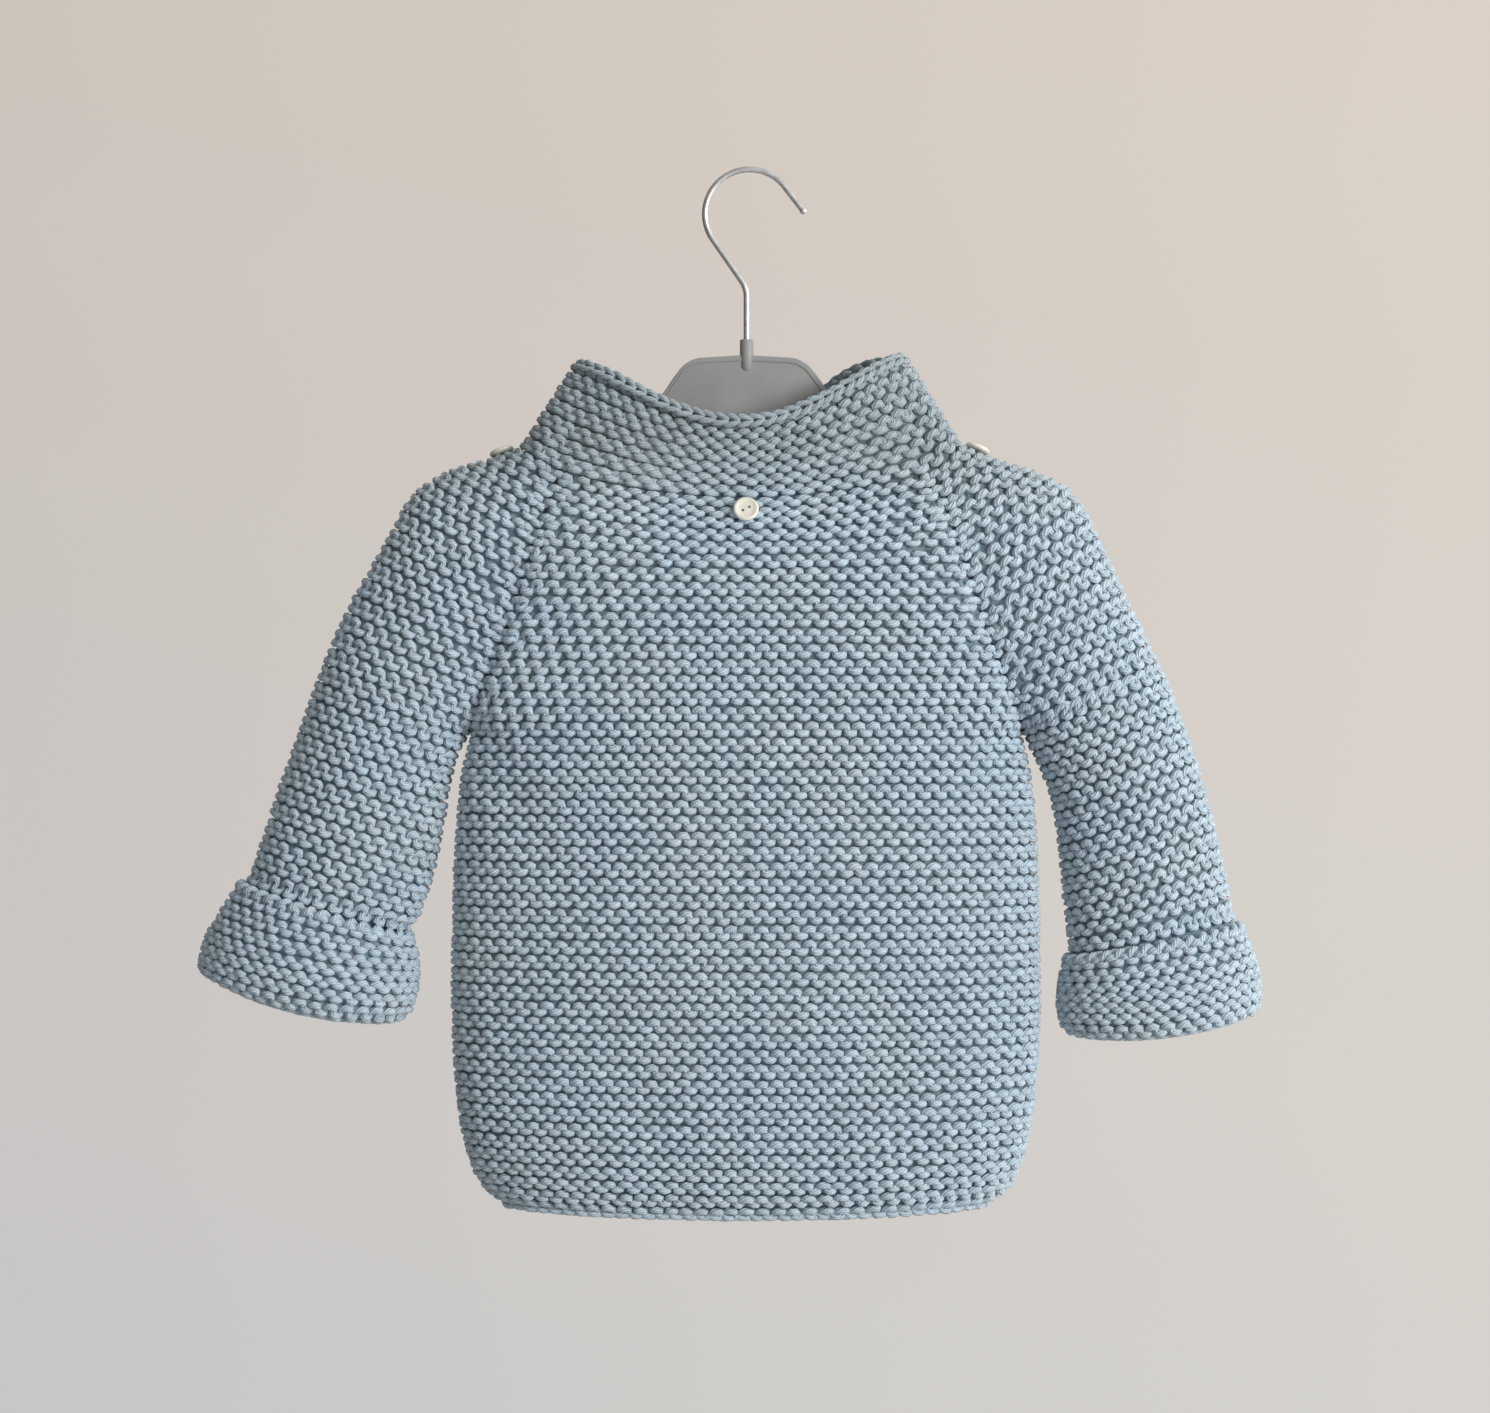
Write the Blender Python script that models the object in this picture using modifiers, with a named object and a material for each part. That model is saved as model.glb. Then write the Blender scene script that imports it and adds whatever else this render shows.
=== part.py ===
"""A child's hand-knitted coat on a hanger: garter stitch, raglan sleeves, turned-back cuffs, stand collar.

Metres, +Z up. The origin is the inside of the hook's top, where the hanger hangs. The coat's back faces -Y
and the wearer's left is at -X. Rows of knitting are counted in ridges from the neck: the yoke's rows run down
to the underarms, and the body's rows and the sleeves' rows go on from there.
"""
import math

import bmesh
import bpy
import numpy as np
from mathutils import Matrix, Vector

COLLECTION = "childs_knitted_coat"

# Cloth: thickness over a ridge, depth of the furrow between ridges, and the gap kept where pieces meet.
WALL = 0.0055
FURROW = 0.0018
SEAM_GAP = 0.0003
CUFF_WALL = 0.0042

# Rows, in ridges.
UNDERARM_ROW = 17
HEM_ROW = 49
COLLAR_ROWS = 7
CUFF_ROWS = 6

# The furrows are shallower beside the underarm, over this many rows.
SEAM_FADE_ROWS = 3.0
SHALLOWEST = 0.35

# Across one row: how square the body's section is, and the columns of points over each piece.
BODY_SQUARENESS = 2.6
BACK_COLUMNS = 12
FRONT_SIDE_COLUMNS = 5
SLEEVE_COLUMNS = 12

# The fronts lap over each other at the middle, the wearer's left one on top.
LAP = 0.012
LAP_FLAT = 0.014
LAP_START = 0.036
LAP_GAP = 0.0005
LAP_LIFT = (WALL + LAP_GAP) / 2

# Buttons.
BUTTON_RADIUS = 0.006
BUTTON_THICKNESS = 0.0026
BUTTON_RIM = 0.0014
BUTTON_DISH = 0.0006
BUTTON_HOLE_RADIUS = 0.0009
BUTTON_HOLE_OFFSET = 0.0019
BUTTON_STEPS = 12
BUTTON_TURN = math.radians(30)
FRONT_BUTTON_ROWS = (4, 15, 26, 37)
NAPE_BUTTON_ROW = 1.3
SHOULDER_BUTTON_ROW = 0.9
SHOULDER_BUTTON_SHARE = 0.55

# Hanger: a flat moulded plate with a socket on top and an arm into each shoulder.
PLATE_THICKNESS = 0.004
PLATE_TOP = -0.0868
PLATE_BOTTOM = -0.1450
ARM_CLEARANCE = 0.0008
ARM_TIP = 0.1420
ARM_TIP_HEIGHT = 0.0110
ARM_ROOT_HEIGHT = 0.0160
SOCKET_RADIUS = 0.00325
SOCKET_TOP = -0.0793
SOCKET_BORE_DEPTH = 0.0060
SOCKET_ROOT = 0.0060
CUT_MARGIN = 0.001
WIRE_RADIUS = 0.0015
HOOK_CENTRE = (0.0017, -0.0197)
HOOK_RADIUS = 0.0212
HOOK_ARC = (214.0, 33.0)
HOOK_ARC_STEPS = 18
HOOK_SHANK_X = 0.0003
HOOK_BEND_Z = -0.0548
HOOK_BEND_RADIUS = 0.0040
HOOK_END = (0.0283, -0.0195)


class Table:
    """Short rows of named columns, read between its rows along a smooth curve that never overshoots."""

    def __init__(self, columns, rows):
        self.names = columns.split()
        self.values = np.array(rows, dtype=float)

    def read(self, name, at):
        xs = self.values[:, 0]
        ys = self.values[:, self.names.index(name)]
        steps = np.diff(xs)
        slopes = np.diff(ys) / steps
        tangents = np.concatenate(([slopes[0]], np.zeros(len(xs) - 2), [slopes[-1]]))
        for i in range(1, len(xs) - 1):
            if slopes[i - 1] * slopes[i] > 0:
                before = 2 * steps[i] + steps[i - 1]
                after = steps[i] + 2 * steps[i - 1]
                tangents[i] = (before + after) / (before / slopes[i - 1] + after / slopes[i])
        at = np.clip(np.asarray(at, dtype=float), xs[0], xs[-1])
        i = np.clip(np.searchsorted(xs, at, side="right") - 1, 0, len(xs) - 2)
        t = (at - xs[i]) / steps[i]
        start = ys[i] * (1 + 2 * t) * (1 - t) ** 2 + tangents[i] * steps[i] * t * (1 - t) ** 2
        end = ys[i + 1] * t * t * (3 - 2 * t) + tangents[i + 1] * steps[i] * t * t * (t - 1)
        return start + end


# The body at each row: half its width, the depth of the back and of the fronts from the hanger's plane, the
# depth and height of the raglan seam or side seam, and how far the row dips at the middle.
BODY = Table("row half_width back_depth front_depth seam_depth height back_dip front_dip", [
    (0, 0.0875, 0.0215, 0.0205, 0.0185, -0.1430, 0.0126, 0.0220),
    (3, 0.0945, 0.0270, 0.0250, 0.0210, -0.1630, 0.0077, 0.0130),
    (6, 0.1020, 0.0305, 0.0275, 0.0230, -0.1862, 0.0030, 0.0050),
    (9, 0.1096, 0.0325, 0.0290, 0.0235, -0.2095, 0.0000, 0.0000),
    (13, 0.1200, 0.0335, 0.0295, 0.0205, -0.2390, 0.0000, 0.0000),
    (15.5, 0.1270, 0.0338, 0.0298, 0.0150, -0.2570, 0.0000, 0.0000),
    (17, 0.1315, 0.0340, 0.0300, 0.0000, -0.2680, 0.0000, 0.0000),
    (20, 0.1360, 0.0345, 0.0305, 0.0000, -0.2895, 0.0003, 0.0000),
    (27, 0.1395, 0.0355, 0.0310, 0.0000, -0.3400, 0.0006, 0.0000),
    (35, 0.1400, 0.0360, 0.0310, 0.0000, -0.3975, 0.0010, 0.0000),
    (41, 0.1378, 0.0360, 0.0305, 0.0000, -0.4395, 0.0013, 0.0000),
    (45, 0.1325, 0.0345, 0.0298, 0.0000, -0.4665, 0.0016, 0.0000),
    (47.5, 0.1255, 0.0310, 0.0288, 0.0000, -0.4815, 0.0018, 0.0000),
    (49, 0.1130, 0.0255, 0.0268, 0.0000, -0.4905, 0.0020, 0.0000),
])

# The outer line of each sleeve, from the neck over the shoulder and down the arm, and half the sleeve's depth.
# x is the distance from the middle.
SLEEVE_OUTER = {
    "left": Table("row x z half_depth", [
        (0, 0.1083, -0.1311, 0.0195),
        (2, 0.1256, -0.1369, 0.0212),
        (4, 0.1431, -0.1421, 0.0226),
        (6, 0.1581, -0.1520, 0.0238),
        (8, 0.1680, -0.1679, 0.0245),
        (10, 0.1765, -0.1838, 0.0250),
        (13, 0.1905, -0.2080, 0.0255),
        (17, 0.2040, -0.2408, 0.0258),
        (21, 0.2155, -0.2729, 0.0260),
        (25, 0.2268, -0.3052, 0.0258),
        (28, 0.2340, -0.3285, 0.0250),
    ]),
    "right": Table("row x z half_depth", [
        (0, 0.1030, -0.1292, 0.0195),
        (2, 0.1185, -0.1360, 0.0212),
        (4, 0.1362, -0.1412, 0.0226),
        (6, 0.1526, -0.1494, 0.0238),
        (8, 0.1638, -0.1640, 0.0245),
        (10, 0.1718, -0.1810, 0.0250),
        (13, 0.1838, -0.2065, 0.0255),
        (17, 0.1995, -0.2395, 0.0258),
        (21, 0.2115, -0.2710, 0.0260),
        (25, 0.2212, -0.3030, 0.0258),
        (29.5, 0.2298, -0.3400, 0.0250),
    ]),
}

# The inner line of each sleeve below the underarm.
SLEEVE_INNER = {
    "left": Table("row x z", [
        (17, 0.1315, -0.2680),
        (19, 0.1385, -0.2832),
        (21, 0.1412, -0.2995),
        (23, 0.1440, -0.3157),
        (25, 0.1475, -0.3318),
        (28, 0.1548, -0.3540),
    ]),
    "right": Table("row x z", [
        (17, 0.1315, -0.2680),
        (19, 0.1385, -0.2822),
        (21, 0.1437, -0.2965),
        (23, 0.1467, -0.3120),
        (25, 0.1485, -0.3275),
        (29.5, 0.1520, -0.3610),
    ]),
}

# Each turned-back cuff from its free edge (share 0) down to its fold (share 1): the ends of its section, half
# its depth, and how far its middle hangs below its ends.
CUFF = {
    "left": Table("share inner_x inner_z outer_x outer_z half_depth sag", [
        (0.00, 0.1580, -0.3625, 0.2415, -0.3370, 0.0275, 0.0000),
        (0.30, 0.1548, -0.3735, 0.2512, -0.3525, 0.0298, 0.0025),
        (0.65, 0.1550, -0.3835, 0.2585, -0.3685, 0.0308, 0.0050),
        (0.90, 0.1572, -0.3925, 0.2590, -0.3785, 0.0296, 0.0068),
        (1.00, 0.1610, -0.3975, 0.2555, -0.3825, 0.0265, 0.0070),
    ]),
    "right": Table("share inner_x inner_z outer_x outer_z half_depth sag", [
        (0.00, 0.1505, -0.3735, 0.2360, -0.3570, 0.0275, 0.0000),
        (0.30, 0.1478, -0.3845, 0.2415, -0.3710, 0.0298, 0.0022),
        (0.65, 0.1470, -0.3945, 0.2452, -0.3860, 0.0308, 0.0042),
        (0.90, 0.1485, -0.4030, 0.2445, -0.3970, 0.0296, 0.0058),
        (1.00, 0.1525, -0.4075, 0.2405, -0.4015, 0.0265, 0.0060),
    ]),
}
CUFF_EDGE_ROW = {"left": 29.0, "right": 30.5}
CUFF_FREE_PLAY = 0.0007
SLEEVE_END_SHARE = 0.80
COVERED_STEPS = 3
FOLD_SHARE = 0.88
FOLD_ROUND_SHARE = 0.94
FOLD_ROUND_DEPTH = 0.55
CUFF_FOLD = CUFF_WALL + WALL
CUFF_FURROW = 0.0012

# The collar's top edge, at an angle round it from the middle of the back (90 degrees at the wearer's left).
COLLAR_HALF_WIDTH = 0.0790
COLLAR_HALF_DEPTH = 0.0270
COLLAR_MIDDLE_X = -0.0025
COLLAR_BACK_HEIGHT = -0.1190
COLLAR_FRONT_HEIGHT = -0.1260
COLLAR_SIDE_HEIGHT = {"left": -0.0885, "right": -0.0860}
COLLAR_DIP_POWER = 1.25

# Places round the neck, as shares of the way from one front edge to the other.
NECK_SHARES = Table("piece start end", [
    (0, 0.00, 0.17),
    (1, 0.17, 0.30),
    (2, 0.30, 0.70),
    (3, 0.70, 0.83),
    (4, 0.83, 1.00),
])
SHOULDER_SHARE = 0.235

# Colours, roughness and metal of each material.
MATERIALS = {
    "knit": ((0.30, 0.39, 0.47, 1.0), 0.95, 0.0),
    "button": ((0.80, 0.77, 0.68, 1.0), 0.35, 0.0),
    "hanger_plastic": ((0.28, 0.28, 0.285, 1.0), 0.55, 0.0),
    "steel": ((0.72, 0.72, 0.72, 1.0), 0.22, 1.0),
}


def signed_power(value, power):
    return np.sign(value) * np.abs(value) ** power


def ease(value):
    """Go smoothly from 0 to 1 while value does."""
    value = np.clip(value, 0.0, 1.0)
    return value * value * (3 - 2 * value)


def stack(x, y, z):
    return np.stack(np.broadcast_arrays(x, y, z), axis=-1)


def edge_gap(row):
    """Half the seam gap, taken across the raglan and the side."""
    return np.full_like(np.asarray(row, dtype=float), SEAM_GAP / 2)


def body_section(row, turn, depth, reach_name, dip_name):
    """Points of the body at a depth under the ridges' tops. turn goes from 0 at one seam to pi at the other."""
    half_width = BODY.read("half_width", row) - edge_gap(row)
    reach = BODY.read(reach_name, row) - depth
    below = ease(row - UNDERARM_ROW + 1)
    seam = BODY.read("seam_depth", row) - depth * (1 - below)
    seam = np.maximum(seam, SEAM_GAP / 2)
    across = signed_power(np.cos(turn), 2 / BODY_SQUARENESS)
    rounding = np.abs(np.sin(turn)) ** (2 / BODY_SQUARENESS)
    x = -(half_width - depth * below) * across
    y = seam + (reach - seam) * rounding
    z = BODY.read("height", row) - BODY.read(dip_name, row) * (1 - across ** 2)
    return x, y, z


def back_surface(row, share, depth):
    """The back, from the wearer's left seam (share 0) to the right one (share 1)."""
    x, y, z = body_section(row, share * math.pi, depth, "back_depth", "back_dip")
    return stack(x, -y, z)


def front_share(row, distance):
    """Where a front is at a distance from the middle, negative past it."""
    half_width = BODY.read("half_width", row)
    return np.arccos(signed_power(distance / half_width, BODY_SQUARENESS / 2)) / math.pi


def front_surface(side, row, share, depth):
    """A front, from its side seam (share 0) past the middle (share 0.5). The left one is lifted onto the other."""
    x, y, z = body_section(row, share * math.pi, depth, "front_depth", "front_dip")
    lift = LAP_LIFT * ease((LAP_START + x) / (LAP_START - LAP_FLAT))
    return stack(x, y + lift, z) if side == "left" else stack(-x, y - lift, z)


def cuff_section(side, share, depth):
    """Ends of a cuff's section, its half depth and its sag, at a depth under its surface."""
    table = CUFF[side]
    inner = stack(table.read("inner_x", share), 0.0, table.read("inner_z", share))
    outer = stack(table.read("outer_x", share), 0.0, table.read("outer_z", share))
    way = (outer - inner) / np.linalg.norm(outer - inner, axis=-1, keepdims=True)
    depth = np.asarray(depth, dtype=float)[..., None]
    half_depth = table.read("half_depth", share) - depth[..., 0]
    return inner + way * depth, outer - way * depth, half_depth, table.read("sag", share)


def sleeve_section(side, row, depth):
    """Ends of a sleeve's section at a row, its half depth, seam depth and sag."""
    row = np.asarray(row, dtype=float)
    depth = np.broadcast_to(np.asarray(depth, dtype=float), row.shape)
    edge_row = CUFF_EDGE_ROW[side]
    below = ease(row - UNDERARM_ROW + 1)
    outer = stack(SLEEVE_OUTER[side].read("x", row), 0.0, SLEEVE_OUTER[side].read("z", row))
    under = stack(SLEEVE_INNER[side].read("x", row), 0.0, SLEEVE_INNER[side].read("z", row))
    raglan = stack(BODY.read("half_width", row), 0.0, BODY.read("height", row))
    inner = np.where((row < UNDERARM_ROW)[..., None], raglan, under)
    inner = inner + stack(edge_gap(row), 0.0, 0.0)
    way = (outer - inner) / np.linalg.norm(outer - inner, axis=-1, keepdims=True)
    inner = inner + way * (depth * below)[..., None]
    outer = outer - way * depth[..., None]
    half_depth = SLEEVE_OUTER[side].read("half_depth", row) - depth
    last_row = SLEEVE_OUTER[side].values[-1, 0]
    into_cuff = ease((row - last_row) / (edge_row - last_row))
    share = np.clip((row - edge_row) / CUFF_ROWS, 0.0, 1.0) * SLEEVE_END_SHARE
    covered = cuff_section(side, share, depth - FURROW + CUFF_WALL + CUFF_FREE_PLAY)
    inner = inner + (covered[0] - inner) * into_cuff[..., None]
    outer = outer + (covered[1] - outer) * into_cuff[..., None]
    half_depth = half_depth + (covered[2] - half_depth) * into_cuff
    seam = np.maximum(BODY.read("seam_depth", row) - depth * (1 - below), SEAM_GAP / 2)
    return inner, outer, half_depth, seam, covered[3] * into_cuff


def tube_point(inner, outer, half_depth, seam, sag, share):
    """A point round a flattened tube, from the seam's near edge (share 0) over the outer line to its far edge."""
    start = np.arcsin(np.clip(seam / half_depth, 0.0, 1.0))
    turn = start + share * (2 * math.pi - 2 * start)
    along = (np.cos(start) - np.cos(turn)) / (1 + np.cos(start))
    way = outer - inner
    down = stack(way[..., 2], 0.0, -way[..., 0]) / np.linalg.norm(way, axis=-1, keepdims=True)
    centre = inner + way * along[..., None] + down * (sag * np.sin(turn) ** 2)[..., None]
    return centre - stack(0.0, half_depth * np.sin(turn), 0.0)


def mirrored(points, side):
    return points * np.array([-1.0, 1.0, 1.0]) if side == "left" else points


def sleeve_surface(side, row, share, depth):
    """A sleeve, from its back edge (share 0) over the shoulder line (share 0.5) to its front edge."""
    row, share, depth = np.broadcast_arrays(*(np.asarray(v, dtype=float) for v in (row, share, depth)))
    return mirrored(tube_point(*sleeve_section(side, row, depth), share), side)


def cuff_surface(side, cuff_share, share, depth):
    """A cuff, at a share of its height from the free edge and a share of the way round."""
    cuff_share, share, depth = np.broadcast_arrays(
        *(np.asarray(v, dtype=float) for v in (cuff_share, share, depth)))
    inner, outer, half_depth, sag = cuff_section(side, cuff_share, depth)
    return mirrored(tube_point(inner, outer, half_depth, np.zeros_like(share), sag, share), side)


def collar_angle(neck_share):
    """Angle round the collar's top edge for a place round the neck, so that the shoulders stay at its sides."""
    away = np.abs(neck_share - 0.5)
    shoulder = 0.5 - SHOULDER_SHARE
    front = (away - shoulder) / (0.5 - shoulder)
    turn = np.where(away < shoulder, away / shoulder, 1 + front) * math.pi / 2
    return np.sign(0.5 - neck_share) * turn


def collar_edge(neck_share, depth):
    """The collar's top edge."""
    turn = collar_angle(neck_share)
    x = COLLAR_MIDDLE_X - (COLLAR_HALF_WIDTH - depth) * np.sin(turn)
    y = -(COLLAR_HALF_DEPTH - depth) * np.cos(turn)
    middle = np.where(np.cos(turn) > 0, COLLAR_BACK_HEIGHT, COLLAR_FRONT_HEIGHT)
    side = np.where(turn > 0, COLLAR_SIDE_HEIGHT["left"], COLLAR_SIDE_HEIGHT["right"])
    z = side + (middle - side) * np.abs(np.cos(turn)) ** COLLAR_DIP_POWER
    return stack(x, y, z)


def collar_surface(neck_point, neck_share, level, depth):
    """The collar at a level from 0 at the neck to 1 at its top edge, above a point of the neck's edge."""
    base = neck_point + np.array([0.0, 0.0, SEAM_GAP])
    return base + (collar_edge(neck_share, depth) - base) * level


def ridge_depth(row, ridges_end):
    """Depth of the outer surface under the ridges' tops: furrows at whole rows, tops halfway between them."""
    if row > ridges_end:
        return FURROW
    fade = SHALLOWEST + (1 - SHALLOWEST) * ease(abs(row - UNDERARM_ROW) / SEAM_FADE_ROWS)
    return FURROW * fade * (1 + math.cos(2 * math.pi * row)) / 2


def half_rows(last_row):
    return [row / 2 for row in range(int(2 * last_row) + 1)]


def inner_rows(last_row):
    """Rows of the plain inside: closer at the underarm and at the ends."""
    rows = [0, 3, 6, 9, 12, 15, 17, 19, 22, 25, 28, 31, 34, 37, 40, 43, 45, 47]
    return [row for row in rows if row < last_row - 0.5] + [last_row]


def new_material(name):
    color, roughness, metallic = MATERIALS[name]
    material = bpy.data.materials.new(name)
    material.use_nodes = True
    shader = material.node_tree.nodes["Principled BSDF"]
    shader.inputs["Base Color"].default_value = color
    shader.inputs["Roughness"].default_value = roughness
    shader.inputs["Metallic"].default_value = metallic
    material.diffuse_color = color
    return material


def add_object(name, data, material, collection):
    piece = bpy.data.objects.new(name, data)
    data.materials.append(material)
    collection.objects.link(piece)
    return piece


def add_grid(mesh, rings, closed=False):
    """Join neighbouring rings of points with faces, and each ring's ends to each other when it is closed."""
    for lower, upper in zip(rings[:-1], rings[1:]):
        count = len(lower)
        for i in range(count if closed else count - 1):
            j = (i + 1) % count
            mesh.faces.new((lower[i], lower[j], upper[j]))
            mesh.faces.new((lower[i], upper[j], upper[i]))


def zip_edges(mesh, outside, outside_rows, inside, inside_rows):
    """Join two edges that run through the same rows with different numbers of points."""
    i = 0
    j = 0
    while i < len(outside) - 1 or j < len(inside) - 1:
        outer_next = outside_rows[i + 1] if i < len(outside) - 1 else math.inf
        inner_next = inside_rows[j + 1] if j < len(inside) - 1 else math.inf
        if outer_next <= inner_next:
            mesh.faces.new((outside[i], outside[i + 1], inside[j]))
            i += 1
        else:
            mesh.faces.new((outside[i], inside[j + 1], inside[j]))
            j += 1


def finish_mesh(name, mesh, material, collection):
    bmesh.ops.recalc_face_normals(mesh, faces=mesh.faces[:])
    data = bpy.data.meshes.new(name)
    mesh.to_mesh(data)
    mesh.free()
    return add_object(name, data, material, collection)


def cloth_wall(name, outside_rings, outside_rows, inside_rings, inside_rows, material, collection):
    """Close a ridged outer grid and a plain inner grid into one wall of cloth."""
    mesh = bmesh.new()
    outside = [[mesh.verts.new(point) for point in ring] for ring in outside_rings]
    inside = [[mesh.verts.new(point) for point in ring] for ring in inside_rings]
    add_grid(mesh, outside)
    add_grid(mesh, inside)
    add_grid(mesh, [outside[0], inside[0]])
    add_grid(mesh, [outside[-1], inside[-1]])
    for column in (0, -1):
        outer_edge = [ring[column] for ring in outside]
        inner_edge = [ring[column] for ring in inside]
        zip_edges(mesh, outer_edge, outside_rows, inner_edge, inside_rows)
    return finish_mesh(name, mesh, material, collection)


def back_columns(_row):
    return np.linspace(0.0, 1.0, BACK_COLUMNS + 1)


def front_columns(row):
    """Columns of a front: evenly turned from the side seam to where the lap starts, then across the lap."""
    lap = [float(front_share(row, distance)) for distance in (LAP_START, LAP_FLAT, 0.0, -LAP)]
    return np.concatenate((np.linspace(0.0, lap[0], FRONT_SIDE_COLUMNS + 1), lap[1:]))


def sleeve_columns(_row):
    return np.linspace(0.0, 1.0, SLEEVE_COLUMNS + 1)


def build_panel(name, surface, columns, ridges_end, covered_rows, material, collection):
    """A knitted piece from its surface function: ridged to one row, then plain through the covered rows."""
    rows = half_rows(ridges_end) + covered_rows
    inside = inner_rows(rows[-1])
    outside_rings = [surface(row, columns(row), ridge_depth(row, ridges_end)) for row in rows]
    inside_rings = [surface(row, columns(row), WALL) for row in inside]
    cloth_wall(name, outside_rings, rows, inside_rings, inside, material, collection)


def build_body(material, collection):
    build_panel("back", back_surface, back_columns, HEM_ROW, [], material, collection)
    for side in ("left", "right"):
        def surface(row, share, depth):
            return front_surface(side, row, share, depth)
        build_panel(f"{side}_front", surface, front_columns, HEM_ROW, [], material, collection)


def build_sleeves(material, collection):
    for side in ("left", "right"):
        def surface(row, share, depth):
            return sleeve_surface(side, row, share, depth)
        edge_row = CUFF_EDGE_ROW[side]
        covered = [edge_row + CUFF_ROWS * step / COVERED_STEPS for step in range(COVERED_STEPS + 1)]
        build_panel(f"{side}_sleeve", surface, sleeve_columns, edge_row - 0.5, covered, material, collection)


def build_cuffs(material, collection):
    """A cuff is a closed band: down beside the sleeve, under its end to the fold, and up its ridged outside."""
    shares = sleeve_columns(0)[:-1]
    for side in ("left", "right"):
        steps = range(COVERED_STEPS + 1)
        profile = [(SLEEVE_END_SHARE * step / COVERED_STEPS, CUFF_WALL) for step in steps]
        profile += [(FOLD_SHARE, CUFF_WALL), (FOLD_SHARE, CUFF_FOLD), (FOLD_ROUND_SHARE, CUFF_FOLD)]
        profile += [(1.0, CUFF_FOLD * FOLD_ROUND_DEPTH)]
        for half in range(2 * CUFF_ROWS, -1, -1):
            profile.append((half / (2 * CUFF_ROWS), CUFF_FURROW * (1 + math.cos(math.pi * half)) / 2))
        mesh = bmesh.new()
        rings = []
        for cuff_share, depth in profile:
            points = cuff_surface(side, cuff_share, shares, depth)
            rings.append([mesh.verts.new(point) for point in points])
        add_grid(mesh, rings + [rings[0]], closed=True)
        finish_mesh(f"{side}_cuff", mesh, material, collection)


def neck_ring(depth):
    """Points round the neck's edge over all five pieces, from the left front's middle to the right one's."""
    front = front_columns(0)[:-1]
    sleeve = sleeve_columns(0)
    runs = [
        front_surface("left", 0, front[::-1], depth),
        sleeve_surface("left", 0, sleeve[::-1], depth),
        back_surface(0, back_columns(0), depth),
        sleeve_surface("right", 0, sleeve, depth),
        front_surface("right", 0, front, depth),
    ]
    points = runs[0]
    shares = np.linspace(0.0, NECK_SHARES.read("end", 0), len(runs[0]))
    for piece, run in enumerate(runs[1:], start=1):
        seam = (points[-1] + run[0]) / 2
        points = np.concatenate((points[:-1], [seam], run[1:]))
        start = NECK_SHARES.read("start", piece)
        end = NECK_SHARES.read("end", piece)
        shares = np.concatenate((shares[:-1], np.linspace(start, end, len(run))))
    return points, shares


def build_collar(material, collection):
    """A band all round the neck, open at the front's middle."""
    middle_gap = np.array([SEAM_GAP, 0.0, 0.0])

    def rings(levels, depth_at):
        result = []
        for level in levels:
            points, shares = neck_ring(depth_at(level))
            ring = collar_surface(points, shares, level / COLLAR_ROWS, depth_at(level))
            ring[0] -= middle_gap
            ring[-1] += middle_gap
            result.append(ring)
        return result

    outside = half_rows(COLLAR_ROWS)
    inside = [0, 2, 4.5, COLLAR_ROWS]
    cloth_wall("collar", rings(outside, lambda row: FURROW * (1 + math.cos(2 * math.pi * row)) / 2), outside,
               rings(inside, lambda row: WALL), inside, material, collection)


def cut_with(piece, cutter):
    modifier = piece.modifiers.new("cut", "BOOLEAN")
    modifier.operation = "DIFFERENCE"
    modifier.solver = "EXACT"
    modifier.object = cutter


def join_with(piece, other):
    modifier = piece.modifiers.new("join", "BOOLEAN")
    modifier.operation = "UNION"
    modifier.solver = "EXACT"
    modifier.object = other


def add_cutter(name, mesh, cutters):
    data = bpy.data.meshes.new(name)
    mesh.to_mesh(data)
    mesh.free()
    cutter = bpy.data.objects.new(name, data)
    cutter.hide_render = True
    cutter.display_type = "WIRE"
    cutters.objects.link(cutter)
    return cutter


def upright_cylinder(radius, bottom, top, segments):
    mesh = bmesh.new()
    bmesh.ops.create_cone(mesh, cap_ends=True, segments=segments, radius1=radius, radius2=radius,
                          depth=top - bottom)
    bmesh.ops.translate(mesh, verts=mesh.verts[:], vec=(0.0, 0.0, (top + bottom) / 2))
    return mesh


def button_blank():
    """A button's turned profile as an outline to be screwed round +Z, its face up."""
    outline = [
        (0.0, BUTTON_THICKNESS - BUTTON_DISH),
        (BUTTON_RADIUS * 0.62, BUTTON_THICKNESS - BUTTON_DISH),
        (BUTTON_RADIUS * 0.86, BUTTON_THICKNESS),
        (BUTTON_RADIUS, BUTTON_RIM),
        (BUTTON_RADIUS * 0.80, 0.0),
        (0.0, 0.0),
    ]
    data = bpy.data.meshes.new("button_profile")
    edges = [(i, i + 1) for i in range(len(outline) - 1)]
    data.from_pydata([(x, 0.0, z) for x, z in outline], edges, [])
    return data


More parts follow.
